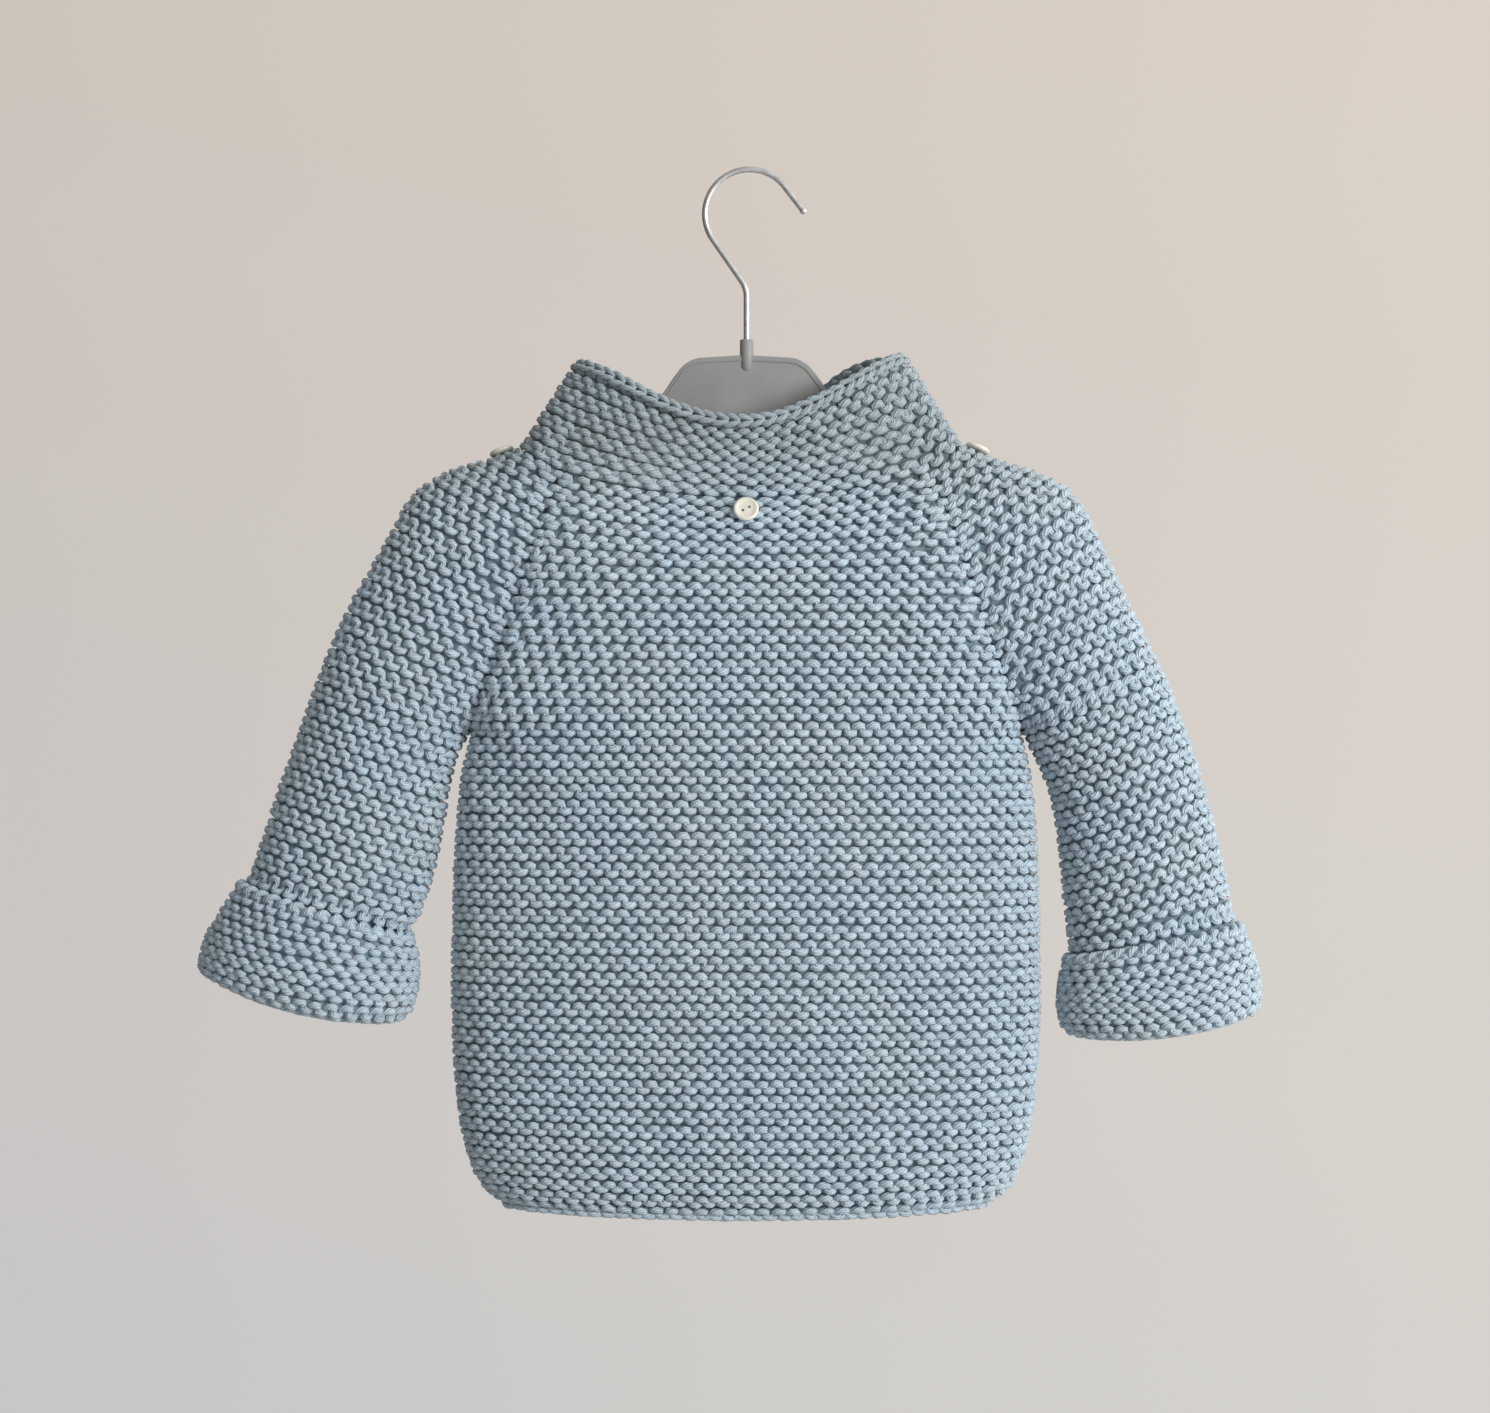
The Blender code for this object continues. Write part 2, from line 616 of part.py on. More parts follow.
def add_button(name, point, normal, holes, material, collection):
    """A two-hole button lying on a point of the cloth, its face along the normal."""
    piece = add_object(name, button_blank(), material, collection)
    turned = piece.modifiers.new("turned", "SCREW")
    turned.steps = BUTTON_STEPS
    turned.render_steps = BUTTON_STEPS
    turned.use_merge_vertices = True
    turned.merge_threshold = 0.00001
    turned.use_normal_calculate = True
    for hole in holes:
        cut_with(piece, hole)
    up = Vector(normal).normalized()
    side = Vector((0.0, 0.0, 1.0)).cross(up)
    side = side.normalized() if side.length > 0.1 else Vector((1.0, 0.0, 0.0))
    turn = Matrix((side, up.cross(side), up)).transposed().to_4x4()
    place = Matrix.Translation(Vector(point) + up * SEAM_GAP) @ turn @ Matrix.Rotation(BUTTON_TURN, 4, "Z")
    piece.matrix_world = place
    for hole in holes:
        hole.matrix_world = place @ hole.matrix_world
    return piece


def surface_normal(surface, row, share, outward):
    """Unit normal of a surface function, on the side of the outward hint."""
    step = 0.02
    along = surface(row, share + step, 0.0) - surface(row, share - step, 0.0)
    down = surface(row + 1.0, share, 0.0) - surface(row - 0.9, share, 0.0)
    normal = Vector(along).cross(Vector(down)).normalized()
    return normal if normal.dot(Vector(outward)) > 0 else -normal


def build_buttons(material, collection, cutters):
    places = []
    nape = back_surface(NAPE_BUTTON_ROW, 0.5, 0.0)
    places.append(("nape_button", nape, surface_normal(back_surface, NAPE_BUTTON_ROW, 0.5, (0, -1, 0))))
    for side, lean in (("left", -0.31), ("right", 0.35)):
        point = sleeve_surface(side, SHOULDER_BUTTON_ROW, SHOULDER_BUTTON_SHARE, 0.0)
        places.append((f"{side}_shoulder_button", point, Vector((lean, 0.16, 0.93))))
    for number, row in enumerate(FRONT_BUTTON_ROWS, start=1):
        point = front_surface("left", row + 0.5, front_share(row + 0.5, 0.0), 0.0)
        places.append((f"front_button_{number}", point, Vector((0, 1, 0))))
    for name, point, normal in places:
        holes = []
        for end in (-1, 1):
            mesh = upright_cylinder(BUTTON_HOLE_RADIUS, -CUT_MARGIN, BUTTON_THICKNESS + CUT_MARGIN, 8)
            bmesh.ops.translate(mesh, verts=mesh.verts[:], vec=(end * BUTTON_HOLE_OFFSET, 0.0, 0.0))
            holes.append(add_cutter(f"{name}_hole", mesh, cutters))
        add_button(name, point, normal, holes, material, collection)


def arm_top(side):
    """The arm's top edge as (x, z) points: just under the inside of the sleeve along the shoulder line."""
    crest = 0.5
    beside = crest + 1 / SLEEVE_COLUMNS
    ridge_line = []
    for row in (0, 3, 6):
        middle = sleeve_surface(side, row, crest, WALL)
        flank = sleeve_surface(side, row, beside, WALL)
        ridge_line.append(middle + (flank - middle) * (PLATE_THICKNESS / 2) / abs(flank[1] - middle[1]))
    points = [(x, z - ARM_CLEARANCE) for x, _, z in ridge_line]
    start, end = points[-2:]
    share = (ARM_TIP - abs(start[0])) / (abs(end[0]) - abs(start[0]))
    return points[:-1] + [(math.copysign(ARM_TIP, end[0]), start[1] + (end[1] - start[1]) * share)]


def hanger_outline():
    """Outline of the hanger's plate and arms as (x, z) points, clockwise from the top's middle."""
    right = arm_top("right")
    left = arm_top("left")
    shoulder = [(0.0240, -0.0882), (0.0298, -0.0915), (0.0345, -0.0975), (0.0400, -0.1060), (0.0560, -0.1190)]
    outline = [(0.0, PLATE_TOP)] + shoulder + right

    def tip(sign, last):
        x, z = last
        return [(x + sign * 0.0030, z - 0.0050), (x, z - ARM_TIP_HEIGHT)]

    def underside(sign):
        return [(sign * 0.1000, right[0][1] - ARM_ROOT_HEIGHT), (sign * 0.0500, PLATE_BOTTOM)]

    outline += tip(1, right[-1]) + underside(1)
    outline += underside(-1)[::-1] + tip(-1, left[-1])[::-1]
    outline += left[::-1] + [(-x, z) for x, z in shoulder[::-1]]
    return outline


def mesh_from_curve(curve_object):
    """Turn a curve object into a plain mesh with welded caps."""
    evaluated = curve_object.evaluated_get(bpy.context.evaluated_depsgraph_get())
    data = bpy.data.meshes.new_from_object(evaluated)
    mesh = bmesh.new()
    mesh.from_mesh(data)
    bmesh.ops.remove_doubles(mesh, verts=mesh.verts[:], dist=0.000005)
    mesh.transform(curve_object.matrix_world)
    bpy.data.objects.remove(curve_object)
    return mesh


def build_hanger(material, collection, cutters):
    curve = bpy.data.curves.new("hanger_outline", "CURVE")
    curve.dimensions = "2D"
    curve.fill_mode = "BOTH"
    curve.extrude = PLATE_THICKNESS / 2
    spline = curve.splines.new("POLY")
    outline = hanger_outline()
    spline.points.add(len(outline) - 1)
    for point, (x, z) in zip(spline.points, outline):
        point.co = (x, z, 0.0, 1.0)
    spline.use_cyclic_u = True
    plate_curve = bpy.data.objects.new("hanger_curve", curve)
    plate_curve.rotation_euler = (math.radians(90), 0.0, 0.0)
    collection.objects.link(plate_curve)
    bpy.context.view_layer.update()
    plate = finish_mesh("hanger", mesh_from_curve(plate_curve), material, collection)
    socket_mesh = upright_cylinder(SOCKET_RADIUS, PLATE_TOP - SOCKET_ROOT, SOCKET_TOP, 16)
    bmesh.ops.translate(socket_mesh, verts=socket_mesh.verts[:], vec=(HOOK_SHANK_X, 0.0, 0.0))
    join_with(plate, add_cutter("hanger_socket", socket_mesh, cutters))
    bore_bottom = SOCKET_TOP - SOCKET_BORE_DEPTH
    bore_mesh = upright_cylinder(WIRE_RADIUS + SEAM_GAP, bore_bottom, SOCKET_TOP + CUT_MARGIN, 12)
    bmesh.ops.translate(bore_mesh, verts=bore_mesh.verts[:], vec=(HOOK_SHANK_X, 0.0, 0.0))
    cut_with(plate, add_cutter("hanger_socket_bore", bore_mesh, cutters))


def hook_route():
    """Centre line of the hook as (x, z) points: up the shank, over the bend, round the arc to its end."""
    first, last = (math.radians(angle) for angle in HOOK_ARC)
    arc = []
    for step in range(HOOK_ARC_STEPS + 1):
        angle = first + (last - first) * step / HOOK_ARC_STEPS
        x = HOOK_CENTRE[0] + HOOK_RADIUS * math.cos(angle)
        arc.append((x, HOOK_CENTRE[1] + HOOK_RADIUS * math.sin(angle)))
    corner = Vector((HOOK_SHANK_X, HOOK_BEND_Z))
    away = (Vector(arc[0]) - corner).normalized() * HOOK_BEND_RADIUS
    bend = []
    for step in range(4):
        share = step / 3
        start = corner + Vector((0.0, -HOOK_BEND_RADIUS)) * (1 - share)
        end = corner + away * share
        bend.append(tuple(start.lerp(end, share)))
    shank = [(HOOK_SHANK_X, SOCKET_TOP - SOCKET_BORE_DEPTH + SEAM_GAP)]
    return shank + bend + arc + [HOOK_END]


def build_hook(material, collection):
    curve = bpy.data.curves.new("hook_line", "CURVE")
    curve.dimensions = "3D"
    curve.bevel_depth = WIRE_RADIUS
    curve.bevel_resolution = 2
    curve.use_fill_caps = True
    spline = curve.splines.new("POLY")
    route = hook_route()
    spline.points.add(len(route) - 1)
    for point, (x, z) in zip(spline.points, route):
        point.co = (x, 0.0, z, 1.0)
    wire = bpy.data.objects.new("hook_curve", curve)
    collection.objects.link(wire)
    bpy.context.view_layer.update()
    hook = finish_mesh("hanger_hook", mesh_from_curve(wire), material, collection)
    hook.data.shade_smooth()
    hook.data.set_sharp_from_angle(angle=math.radians(50))


def main():
    for existing in list(bpy.data.objects):
        bpy.data.objects.remove(existing)
    collection = bpy.data.collections.new(COLLECTION)
    cutters = bpy.data.collections.new("cutters")
    bpy.context.scene.collection.children.link(collection)
    bpy.context.scene.collection.children.link(cutters)
    materials = {name: new_material(name) for name in MATERIALS}
    build_body(materials["knit"], collection)
    build_sleeves(materials["knit"], collection)
    build_cuffs(materials["knit"], collection)
    build_collar(materials["knit"], collection)
    build_buttons(materials["button"], collection, cutters)
    build_hanger(materials["hanger_plastic"], collection, cutters)
    build_hook(materials["steel"], collection)


main()
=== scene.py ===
"""Looks of a baby's hand-knitted coat on a child's hanger, with its buttons and hook, a floor and light.

Metres, +Z up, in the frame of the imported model: the origin is inside the hook's top, the coat's back faces
-Y and the wearer's left is at -X. Rows of knitting are counted in ridges from the neck down. Each knitted
piece is a thin shell on its solid's form, with every stitch of its outside laid over it as a loop of yarn.
"""
import math

import bmesh
import bpy
import numpy as np
from mathutils import Matrix, Vector

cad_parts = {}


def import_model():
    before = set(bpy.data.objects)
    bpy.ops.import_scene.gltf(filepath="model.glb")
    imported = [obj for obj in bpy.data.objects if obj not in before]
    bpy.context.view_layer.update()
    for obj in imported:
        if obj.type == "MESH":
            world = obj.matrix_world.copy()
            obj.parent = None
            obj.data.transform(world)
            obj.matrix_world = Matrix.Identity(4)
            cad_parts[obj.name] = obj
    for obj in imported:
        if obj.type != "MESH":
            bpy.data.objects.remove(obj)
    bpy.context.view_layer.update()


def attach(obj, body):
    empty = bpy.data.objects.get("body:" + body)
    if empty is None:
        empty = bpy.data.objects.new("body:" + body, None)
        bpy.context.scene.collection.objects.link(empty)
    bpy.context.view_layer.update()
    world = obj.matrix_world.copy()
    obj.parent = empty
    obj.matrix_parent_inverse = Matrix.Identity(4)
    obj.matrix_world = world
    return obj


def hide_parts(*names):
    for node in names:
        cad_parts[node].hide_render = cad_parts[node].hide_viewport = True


# Camera: straight at the coat's back, and the photograph's frame at the hanger's plane.
CAMERA_PLACE = (-0.0005, -1.5, -0.2536)
FRAME_WIDTH = 0.70775
SENSOR_WIDTH = 36.0

# Cloth: thickness over a ridge, depth of the furrow between ridges, and the gap kept where pieces meet.
WALL = 0.0055
FURROW = 0.0018
SEAM_GAP = 0.0003
CUFF_WALL = 0.0042

# Rows, in ridges.
UNDERARM_ROW = 17
HEM_ROW = 49
COLLAR_ROWS = 7
CUFF_ROWS = 6

# How square the body's section is, and the fronts' lap at the middle.
BODY_SQUARENESS = 2.6
LAP = 0.012
LAP_FLAT = 0.014
LAP_START = 0.036
LAP_GAP = 0.0005
LAP_LIFT = (WALL + LAP_GAP) / 2

# Yarn, and how a stitch lies: its sway as a share of a stitch, and its depths under the ridges' tops. How far
# a ridge's yarn swings up and down, in ridges, follows from how tightly the ridges are packed.
YARN_RADIUS = 0.00168
YARN_SIDES = 6
STITCH_SWAY = 0.17
STITCH_DIVE = 0.00115
STITCH_TUCK = 0.00050
STITCH_PLUMPNESS = 0.18
STITCH_PACKING = 1.12
SWING_LEAST = 0.21
SWING_MOST = 0.34
STITCH_POINTS = 10
HIDDEN_STITCH_POINTS = 8
BODY_SPLIT_ROW = 17

# How unevenly stitches lie: how far they stray along a row, in stitches, up and down, in ridges, and in
# depth, and by what share their sway, their swing and their yarn vary.
STRAY_PHASE = 0.022
STRAY_PLACE = 0.03
STRAY_ROW = 0.024
STRAY_DEPTH = 0.00018
UNEVEN_SWAY = 0.10
UNEVEN_SWING = 0.07
UNEVEN_YARN = 0.04

# The shell under the yarn: its depth on a ridge, how much deeper it is in a furrow, the relief inside, and
# how many columns each piece has. A cuff's shell lies higher and leaves room for its fold.
SHELL_DEPTH = 0.0024
SHELL_FURROW = 0.0012
INSIDE_RELIEF = 0.0016
SHELL_STEPS_PER_RIDGE = 4
CUFF_SHELL_RAISE = 0.0004
CUFF_FOLD_ROOM = 0.0006
SHELL_COLUMNS = {"back": 44, "front": 28, "sleeve": 40, "cuff": 44, "collar": 110}

# The raglan seams, in stitches: how far from one the stitches stray more, and where a row stops for the
# seam's own stitch. An increase leaves two small holes on one side of the seam in each ridge, where the yarn
# is pinched and pressed in, and on the other side a tight stitch.
RAGLAN_REACH = 2.0
RAGLAN_STOP = 0.45
RAGLAN_STRAY = 0.07
RAGLAN_STRAY_ROW = 0.06
HOLE_SPREAD = 0.34
HOLE_WIDTH = 0.14
HOLE_PINCH = 0.32
HOLE_DIVE = 0.0003
TIGHT_PLACE = 1.2
TIGHT_WIDTH = 0.35
TIGHT_PINCH = 0.12
TIGHT_DIVE = 0.0006
TIGHT_STRAY_ROW = 0.12

# The stitch over the seam itself: its reach to either side, where in its wave it starts, how far it swings,
# how thick its yarn is, and how deep its ends go under the next stitches.
SEAM_REACH = 0.85
SEAM_POINTS = 20
SEAM_PHASE = 0.2
SEAM_SWING = 0.27
SEAM_THICKNESS = 0.94
SEAM_END_DIVE = 0.0012

# Chain edges: yarn, width, and how far a link rises and sinks. Then each edge's row, the length of a link,
# how far the chain is turned from the edge to the outside, and its lift. The collar's is lower at the sides.
CHAIN_RADIUS = 0.00140
CHAIN_HALF_WIDTH = 0.0022
CHAIN_WEAVE = 0.0009
CHAIN_POINTS = 17
EDGE_SAMPLES = 241
HEM_EDGE_ROW = HEM_ROW - 0.3
HEM_EDGE_PITCH = 0.0062
HEM_EDGE_TILT = 1.25
HEM_EDGE_LIFT = -0.0004
COLLAR_EDGE_ROW = 0.34
COLLAR_EDGE_PITCH = 0.0058
COLLAR_EDGE_TILT = 0.35
COLLAR_EDGE_LIFT = 0.0024
COLLAR_EDGE_DROP = 0.0018
COLLAR_FIRST_RIDGE = 0.84

# Yarn wound round a cuff's free edge: the distance between turns and the coil's radius.
WINDING_PITCH = 0.0066
WINDING_COIL = 0.00125
WINDING_SAMPLES = 361
WINDING_POINTS = 12

# Buttons.
BUTTON_THICKNESS = 0.0026
BUTTON_TURN = math.radians(30)
BUTTON_SIDES = 48
BUTTON_HOLE_RADIUS = 0.0007
BUTTON_HOLE_OFFSET = 0.0017
FRONT_BUTTON_ROWS = (4, 15, 26, 37)
NAPE_BUTTON_ROW = 1.3
SHOULDER_BUTTON_ROW = 0.9
SHOULDER_BUTTON_SHARE = 0.55

# Hanger and hook.
PLATE_THICKNESS = 0.004
PLATE_TOP = -0.0868
PLATE_BOTTOM = -0.1450
ARM_CLEARANCE = 0.0008
ARM_FIT_COLUMNS = 12
ARM_TIP = 0.1420
ARM_TIP_HEIGHT = 0.0110
ARM_ROOT_HEIGHT = 0.0160
PLATE_EDGE = 0.0007
PLATE_CORNER = 0.004
RIM_WIDTH = 0.0016
RIM_HEIGHT = 0.0006
RIM_SINK = 0.00015
SOCKET_RADIUS = 0.00325
SOCKET_TOP = -0.0793
SOCKET_ROOT = 0.0060
SOCKET_BORE_DEPTH = 0.0060
SOCKET_SIDES = 32
WIRE_RADIUS = 0.0015
HOOK_BALL_RADIUS = 0.0018
HOOK_CENTRE = (0.0017, -0.0197)
HOOK_RADIUS = 0.0212
HOOK_ARC = (214.0, 33.0)
HOOK_ARC_STEPS = 40
HOOK_BEND_STEPS = 8
HOOK_SIDES = 20
HOOK_STEPS = 150
HOOK_SHANK_X = 0.0003
HOOK_BEND_Z = -0.0548
HOOK_BEND_RADIUS = 0.0040
HOOK_END = (0.0283, -0.0195)

# Wool, the cloth behind it, and the plies in the yarn. Both colours are darkened and greyed towards the neck
# as painted shade, between two heights.
YARN_BASE = (0.474, 0.584, 0.670, 1.0)
YARN_COOL = (0.461, 0.577, 0.676, 1.0)
YARN_WARM = (0.492, 0.592, 0.664, 1.0)
# The cloth behind the yarn is the same wool in a darker colour: painted shade in the gaps between the
# stitches.
SHADED_CLOTH_BASE = (0.165, 0.235, 0.273, 1.0)
SHADED_CLOTH_COOL = (0.155, 0.228, 0.278, 1.0)
SHADED_CLOTH_WARM = (0.180, 0.245, 0.268, 1.0)
PLY_TWIST_LENGTH = 0.019
PLIES = 6.0
# Painted shade and light on the plies: the yarn's colour is darkened in the grooves between plies and
# lightened on their crests.
PLY_GROOVE_SHADE = (0.77, 0.80, 0.83, 1.0)
PLY_CREST_LIGHT = (1.05, 1.03, 1.01, 1.0)
NECK_SHADE = (0.75, 0.73, 0.695, 1.0)
NECK_LOW = -0.162
NECK_HIGH = -0.130
WHITE = (1.0, 1.0, 1.0, 1.0)

# The wall's colours, left and right, low and high, and how far from straight ahead they end. The soft light:
# its strength in the middle, how it grows to the bright side, and its colours low and high. The key light and
# the floor.
# Painted light on the wall: it is lighter to the right and warmer upwards, as a wall lit from the upper
# right.
WALL_LOW = ((0.578, 0.565, 0.565, 1.0), (0.672, 0.651, 0.616, 1.0))
WALL_HIGH = ((0.610, 0.552, 0.503, 1.0), (0.708, 0.638, 0.571, 1.0))
WALL_ACROSS = 0.22
WALL_UP = 0.20
FILL_MIDDLE = 0.625
FILL_ACROSS = 0.50
FILL_LOW = (0.975, 0.990, 1.020, 1.0)
FILL_HIGH = (1.0, 0.975, 0.935, 1.0)
FILL_TURN = 0.8
KEY_PLACE = (1.40, -1.25, 0.15)
KEY_SIZE = 0.8
KEY_POWER = 28.0
KEY_TARGET = (0.0, 0.0, -0.28)
KEY_COLOUR = (1.0, 0.985, 0.96)
FLOOR_HEIGHT = -0.75
FLOOR_RADIUS = 0.62
FLOOR_SIDES = 96

SEED = 4196


class Table:
    """Short rows of named columns, read between them along a smooth curve that never overshoots."""

    def __init__(self, columns, rows):
        self.names = columns.split()
        self.values = np.array(rows, dtype=float)

    def read(self, name, at):
        xs = self.values[:, 0]
        ys = self.values[:, self.names.index(name)]
        steps = np.diff(xs)
        slopes = np.diff(ys) / steps
        tangents = np.concatenate(([slopes[0]], np.zeros(len(xs) - 2), [slopes[-1]]))
        for i in range(1, len(xs) - 1):
            if slopes[i - 1] * slopes[i] > 0:
                before = 2 * steps[i] + steps[i - 1]
                after = steps[i] + 2 * steps[i - 1]
                tangents[i] = (before + after) / (before / slopes[i - 1] + after / slopes[i])
        at = np.clip(np.asarray(at, dtype=float), xs[0], xs[-1])
        i = np.clip(np.searchsorted(xs, at, side="right") - 1, 0, len(xs) - 2)
        t = (at - xs[i]) / steps[i]
        start = ys[i] * (1 + 2 * t) * (1 - t) ** 2 + tangents[i] * steps[i] * t * (1 - t) ** 2
        end = ys[i + 1] * t * t * (3 - 2 * t) + tangents[i + 1] * steps[i] * t * t * (t - 1)
        return start + end


# The body at each row: half its width, the depth of the back and of the fronts from the hanger's plane, the
# depth and height of the raglan seam or side seam, and how far the row dips at the middle.
BODY = Table("row half_width back_depth front_depth seam_depth height back_dip front_dip", [
    (0, 0.0875, 0.0215, 0.0205, 0.0185, -0.1430, 0.0126, 0.0220),
    (3, 0.0945, 0.0270, 0.0250, 0.0210, -0.1630, 0.0077, 0.0130),
    (6, 0.1020, 0.0305, 0.0275, 0.0230, -0.1862, 0.0030, 0.0050),
    (9, 0.1096, 0.0325, 0.0290, 0.0235, -0.2095, 0.0000, 0.0000),
    (13, 0.1200, 0.0335, 0.0295, 0.0205, -0.2390, 0.0000, 0.0000),
    (15.5, 0.1270, 0.0338, 0.0298, 0.0150, -0.2570, 0.0000, 0.0000),
    (17, 0.1315, 0.0340, 0.0300, 0.0000, -0.2680, 0.0000, 0.0000),
    (20, 0.1360, 0.0345, 0.0305, 0.0000, -0.2895, 0.0003, 0.0000),
    (27, 0.1395, 0.0355, 0.0310, 0.0000, -0.3400, 0.0006, 0.0000),
    (35, 0.1400, 0.0360, 0.0310, 0.0000, -0.3975, 0.0010, 0.0000),
    (41, 0.1378, 0.0360, 0.0305, 0.0000, -0.4393, 0.0018, 0.0000),
    (45, 0.1325, 0.0345, 0.0298, 0.0000, -0.4660, 0.0027, 0.0000),
    (47.5, 0.1255, 0.0310, 0.0288, 0.0000, -0.4808, 0.0036, 0.0000),
    (49, 0.1130, 0.0255, 0.0268, 0.0000, -0.4897, 0.0042, 0.0000),
])

# The outer line of each sleeve, from the neck over the shoulder and down the arm, and half the sleeve's
# depth. x is the distance from the middle.
SLEEVE_OUTER = {
    "left": Table("row x z half_depth", [
        (0, 0.1083, -0.1311, 0.0195),
        (2, 0.1256, -0.1369, 0.0212),
        (4, 0.1431, -0.1421, 0.0226),
        (6, 0.1581, -0.1520, 0.0238),
        (8, 0.1680, -0.1679, 0.0245),
        (10, 0.1765, -0.1838, 0.0250),
        (13, 0.1905, -0.2080, 0.0255),
        (17, 0.2040, -0.2408, 0.0258),
        (21, 0.2155, -0.2729, 0.0260),
        (25, 0.2268, -0.3052, 0.0258),
        (28, 0.2340, -0.3285, 0.0250),
    ]),
    "right": Table("row x z half_depth", [
        (0, 0.1030, -0.1292, 0.0195),
        (2, 0.1185, -0.1360, 0.0212),
        (4, 0.1362, -0.1412, 0.0226),
        (6, 0.1526, -0.1494, 0.0238),
        (8, 0.1638, -0.1640, 0.0245),
        (10, 0.1718, -0.1810, 0.0250),
        (13, 0.1838, -0.2065, 0.0255),
        (17, 0.1995, -0.2395, 0.0258),
        (21, 0.2115, -0.2710, 0.0260),
        (25, 0.2212, -0.3030, 0.0258),
        (29.5, 0.2298, -0.3400, 0.0250),
    ]),
}

# The inner line of each sleeve below the underarm.
SLEEVE_INNER = {
    "left": Table("row x z", [
        (17, 0.1315, -0.2680),
        (19, 0.1385, -0.2832),
        (21, 0.1412, -0.2995),
        (23, 0.1440, -0.3157),
        (25, 0.1475, -0.3318),
        (28, 0.1548, -0.3540),
    ]),
    "right": Table("row x z", [
        (17, 0.1315, -0.2680),
        (19, 0.1385, -0.2822),
        (21, 0.1437, -0.2965),
        (23, 0.1467, -0.3120),
        (25, 0.1485, -0.3275),
        (29.5, 0.1520, -0.3610),
    ]),
}

# Each turned-back cuff from its free edge (share 0) down to its fold (share 1): the ends of its section, half
# its depth, and how far its middle hangs below its ends.
CUFF = {
    "left": Table("share inner_x inner_z outer_x outer_z half_depth sag", [
        (0.00, 0.1580, -0.3625, 0.2415, -0.3370, 0.0275, 0.0000),
        (0.30, 0.1548, -0.3745, 0.2512, -0.3520, 0.0298, 0.0020),
        (0.65, 0.1552, -0.3872, 0.2588, -0.3672, 0.0308, 0.0032),
        (0.90, 0.1588, -0.3980, 0.2604, -0.3764, 0.0296, 0.0040),
        (1.00, 0.1634, -0.4032, 0.2572, -0.3802, 0.0265, 0.0042),
    ]),
    "right": Table("share inner_x inner_z outer_x outer_z half_depth sag", [
        (0.00, 0.1505, -0.3735, 0.2360, -0.3570, 0.0275, 0.0000),
        (0.30, 0.1478, -0.3850, 0.2415, -0.3705, 0.0298, 0.0018),
        (0.65, 0.1470, -0.3955, 0.2452, -0.3845, 0.0308, 0.0026),
        (0.90, 0.1488, -0.4048, 0.2448, -0.3945, 0.0296, 0.0030),
        (1.00, 0.1528, -0.4094, 0.2412, -0.3988, 0.0265, 0.0032),
    ]),
}
CUFF_EDGE_ROW = {"left": 29.0, "right": 30.5}
CUFF_FREE_PLAY = 0.0007
SLEEVE_END_SHARE = 0.80
FOLD_START_SHARE = 0.84
FOLD_FULL_SHARE = 0.90
FOLD_ROUND_SHARE = 0.94
FOLD_ROUND_DEPTH = 0.55
CUFF_FOLD = CUFF_WALL + WALL

# The collar's top edge, at an angle round it from the middle of the back (90 degrees at the wearer's left).
COLLAR_HALF_WIDTH = 0.0790
COLLAR_HALF_DEPTH = 0.0270
COLLAR_MIDDLE_X = -0.0025
COLLAR_BACK_HEIGHT = -0.1190
COLLAR_FRONT_HEIGHT = -0.1260
COLLAR_SIDE_HEIGHT = {"left": -0.0900, "right": -0.0870}
COLLAR_BACK_ROUNDING = 3.0
COLLAR_FRONT_ROUNDING = {"left": 3.0, "right": 7.0}

# Places round the neck, as shares of the way from one front edge to the other.
NECK_SHARES = Table("piece start end", [
    (0, 0.00, 0.17),
    (1, 0.17, 0.30),
    (2, 0.30, 0.70),
    (3, 0.70, 0.83),
    (4, 0.83, 1.00),
])
SHOULDER_SHARE = 0.235


def signed_power(value, power):
    return np.sign(value) * np.abs(value) ** power


def ease(value):
    """Go smoothly from 0 to 1 while value does."""
    value = np.clip(value, 0.0, 1.0)
    return value * value * (3 - 2 * value)


def stack(x, y, z):
    return np.stack(np.broadcast_arrays(x, y, z), axis=-1)


def unit(vectors):
    return vectors / np.maximum(np.linalg.norm(vectors, axis=-1, keepdims=True), 1e-12)


def broadcast(*values):
    return np.broadcast_arrays(*(np.asarray(value, dtype=float) for value in values))


def distances(points):
    """How far each point of a line is along it."""
    steps = np.linalg.norm(np.diff(points, axis=0), axis=1)
    return np.concatenate(([0.0], np.cumsum(steps)))


def read_along(at, distance, values):
    """Values known at distances along a line, read at other distances."""
    return np.stack([np.interp(at, distance, column) for column in values.T], axis=-1)


def body_section(row, turn, depth, reach_name, dip_name):
    """The body at a depth under the ridges' tops. turn goes from 0 at one seam to pi at the other."""
    half_width = BODY.read("half_width", row) - SEAM_GAP / 2
    reach = BODY.read(reach_name, row) - depth
    below = ease(row - UNDERARM_ROW + 1)
    seam = BODY.read("seam_depth", row) - depth * (1 - below)
    seam = np.maximum(seam, SEAM_GAP / 2)
    across = signed_power(np.cos(turn), 2 / BODY_SQUARENESS)
    rounding = np.abs(np.sin(turn)) ** (2 / BODY_SQUARENESS)
    x = -(half_width - depth * below) * across
    y = seam + (reach - seam) * rounding
    z = BODY.read("height", row) - BODY.read(dip_name, row) * (1 - across ** 2)
    return x, y, z


def back_surface(row, share, depth):
    """The back, from the wearer's left seam (share 0) to the right one (share 1)."""
    x, y, z = body_section(row, share * math.pi, depth, "back_depth", "back_dip")
    return stack(x, -y, z)


def front_share(row, distance):
    """Where a front is at a distance from the middle, negative past it."""
    half_width = BODY.read("half_width", row)
    return np.arccos(signed_power(distance / half_width, BODY_SQUARENESS / 2)) / math.pi


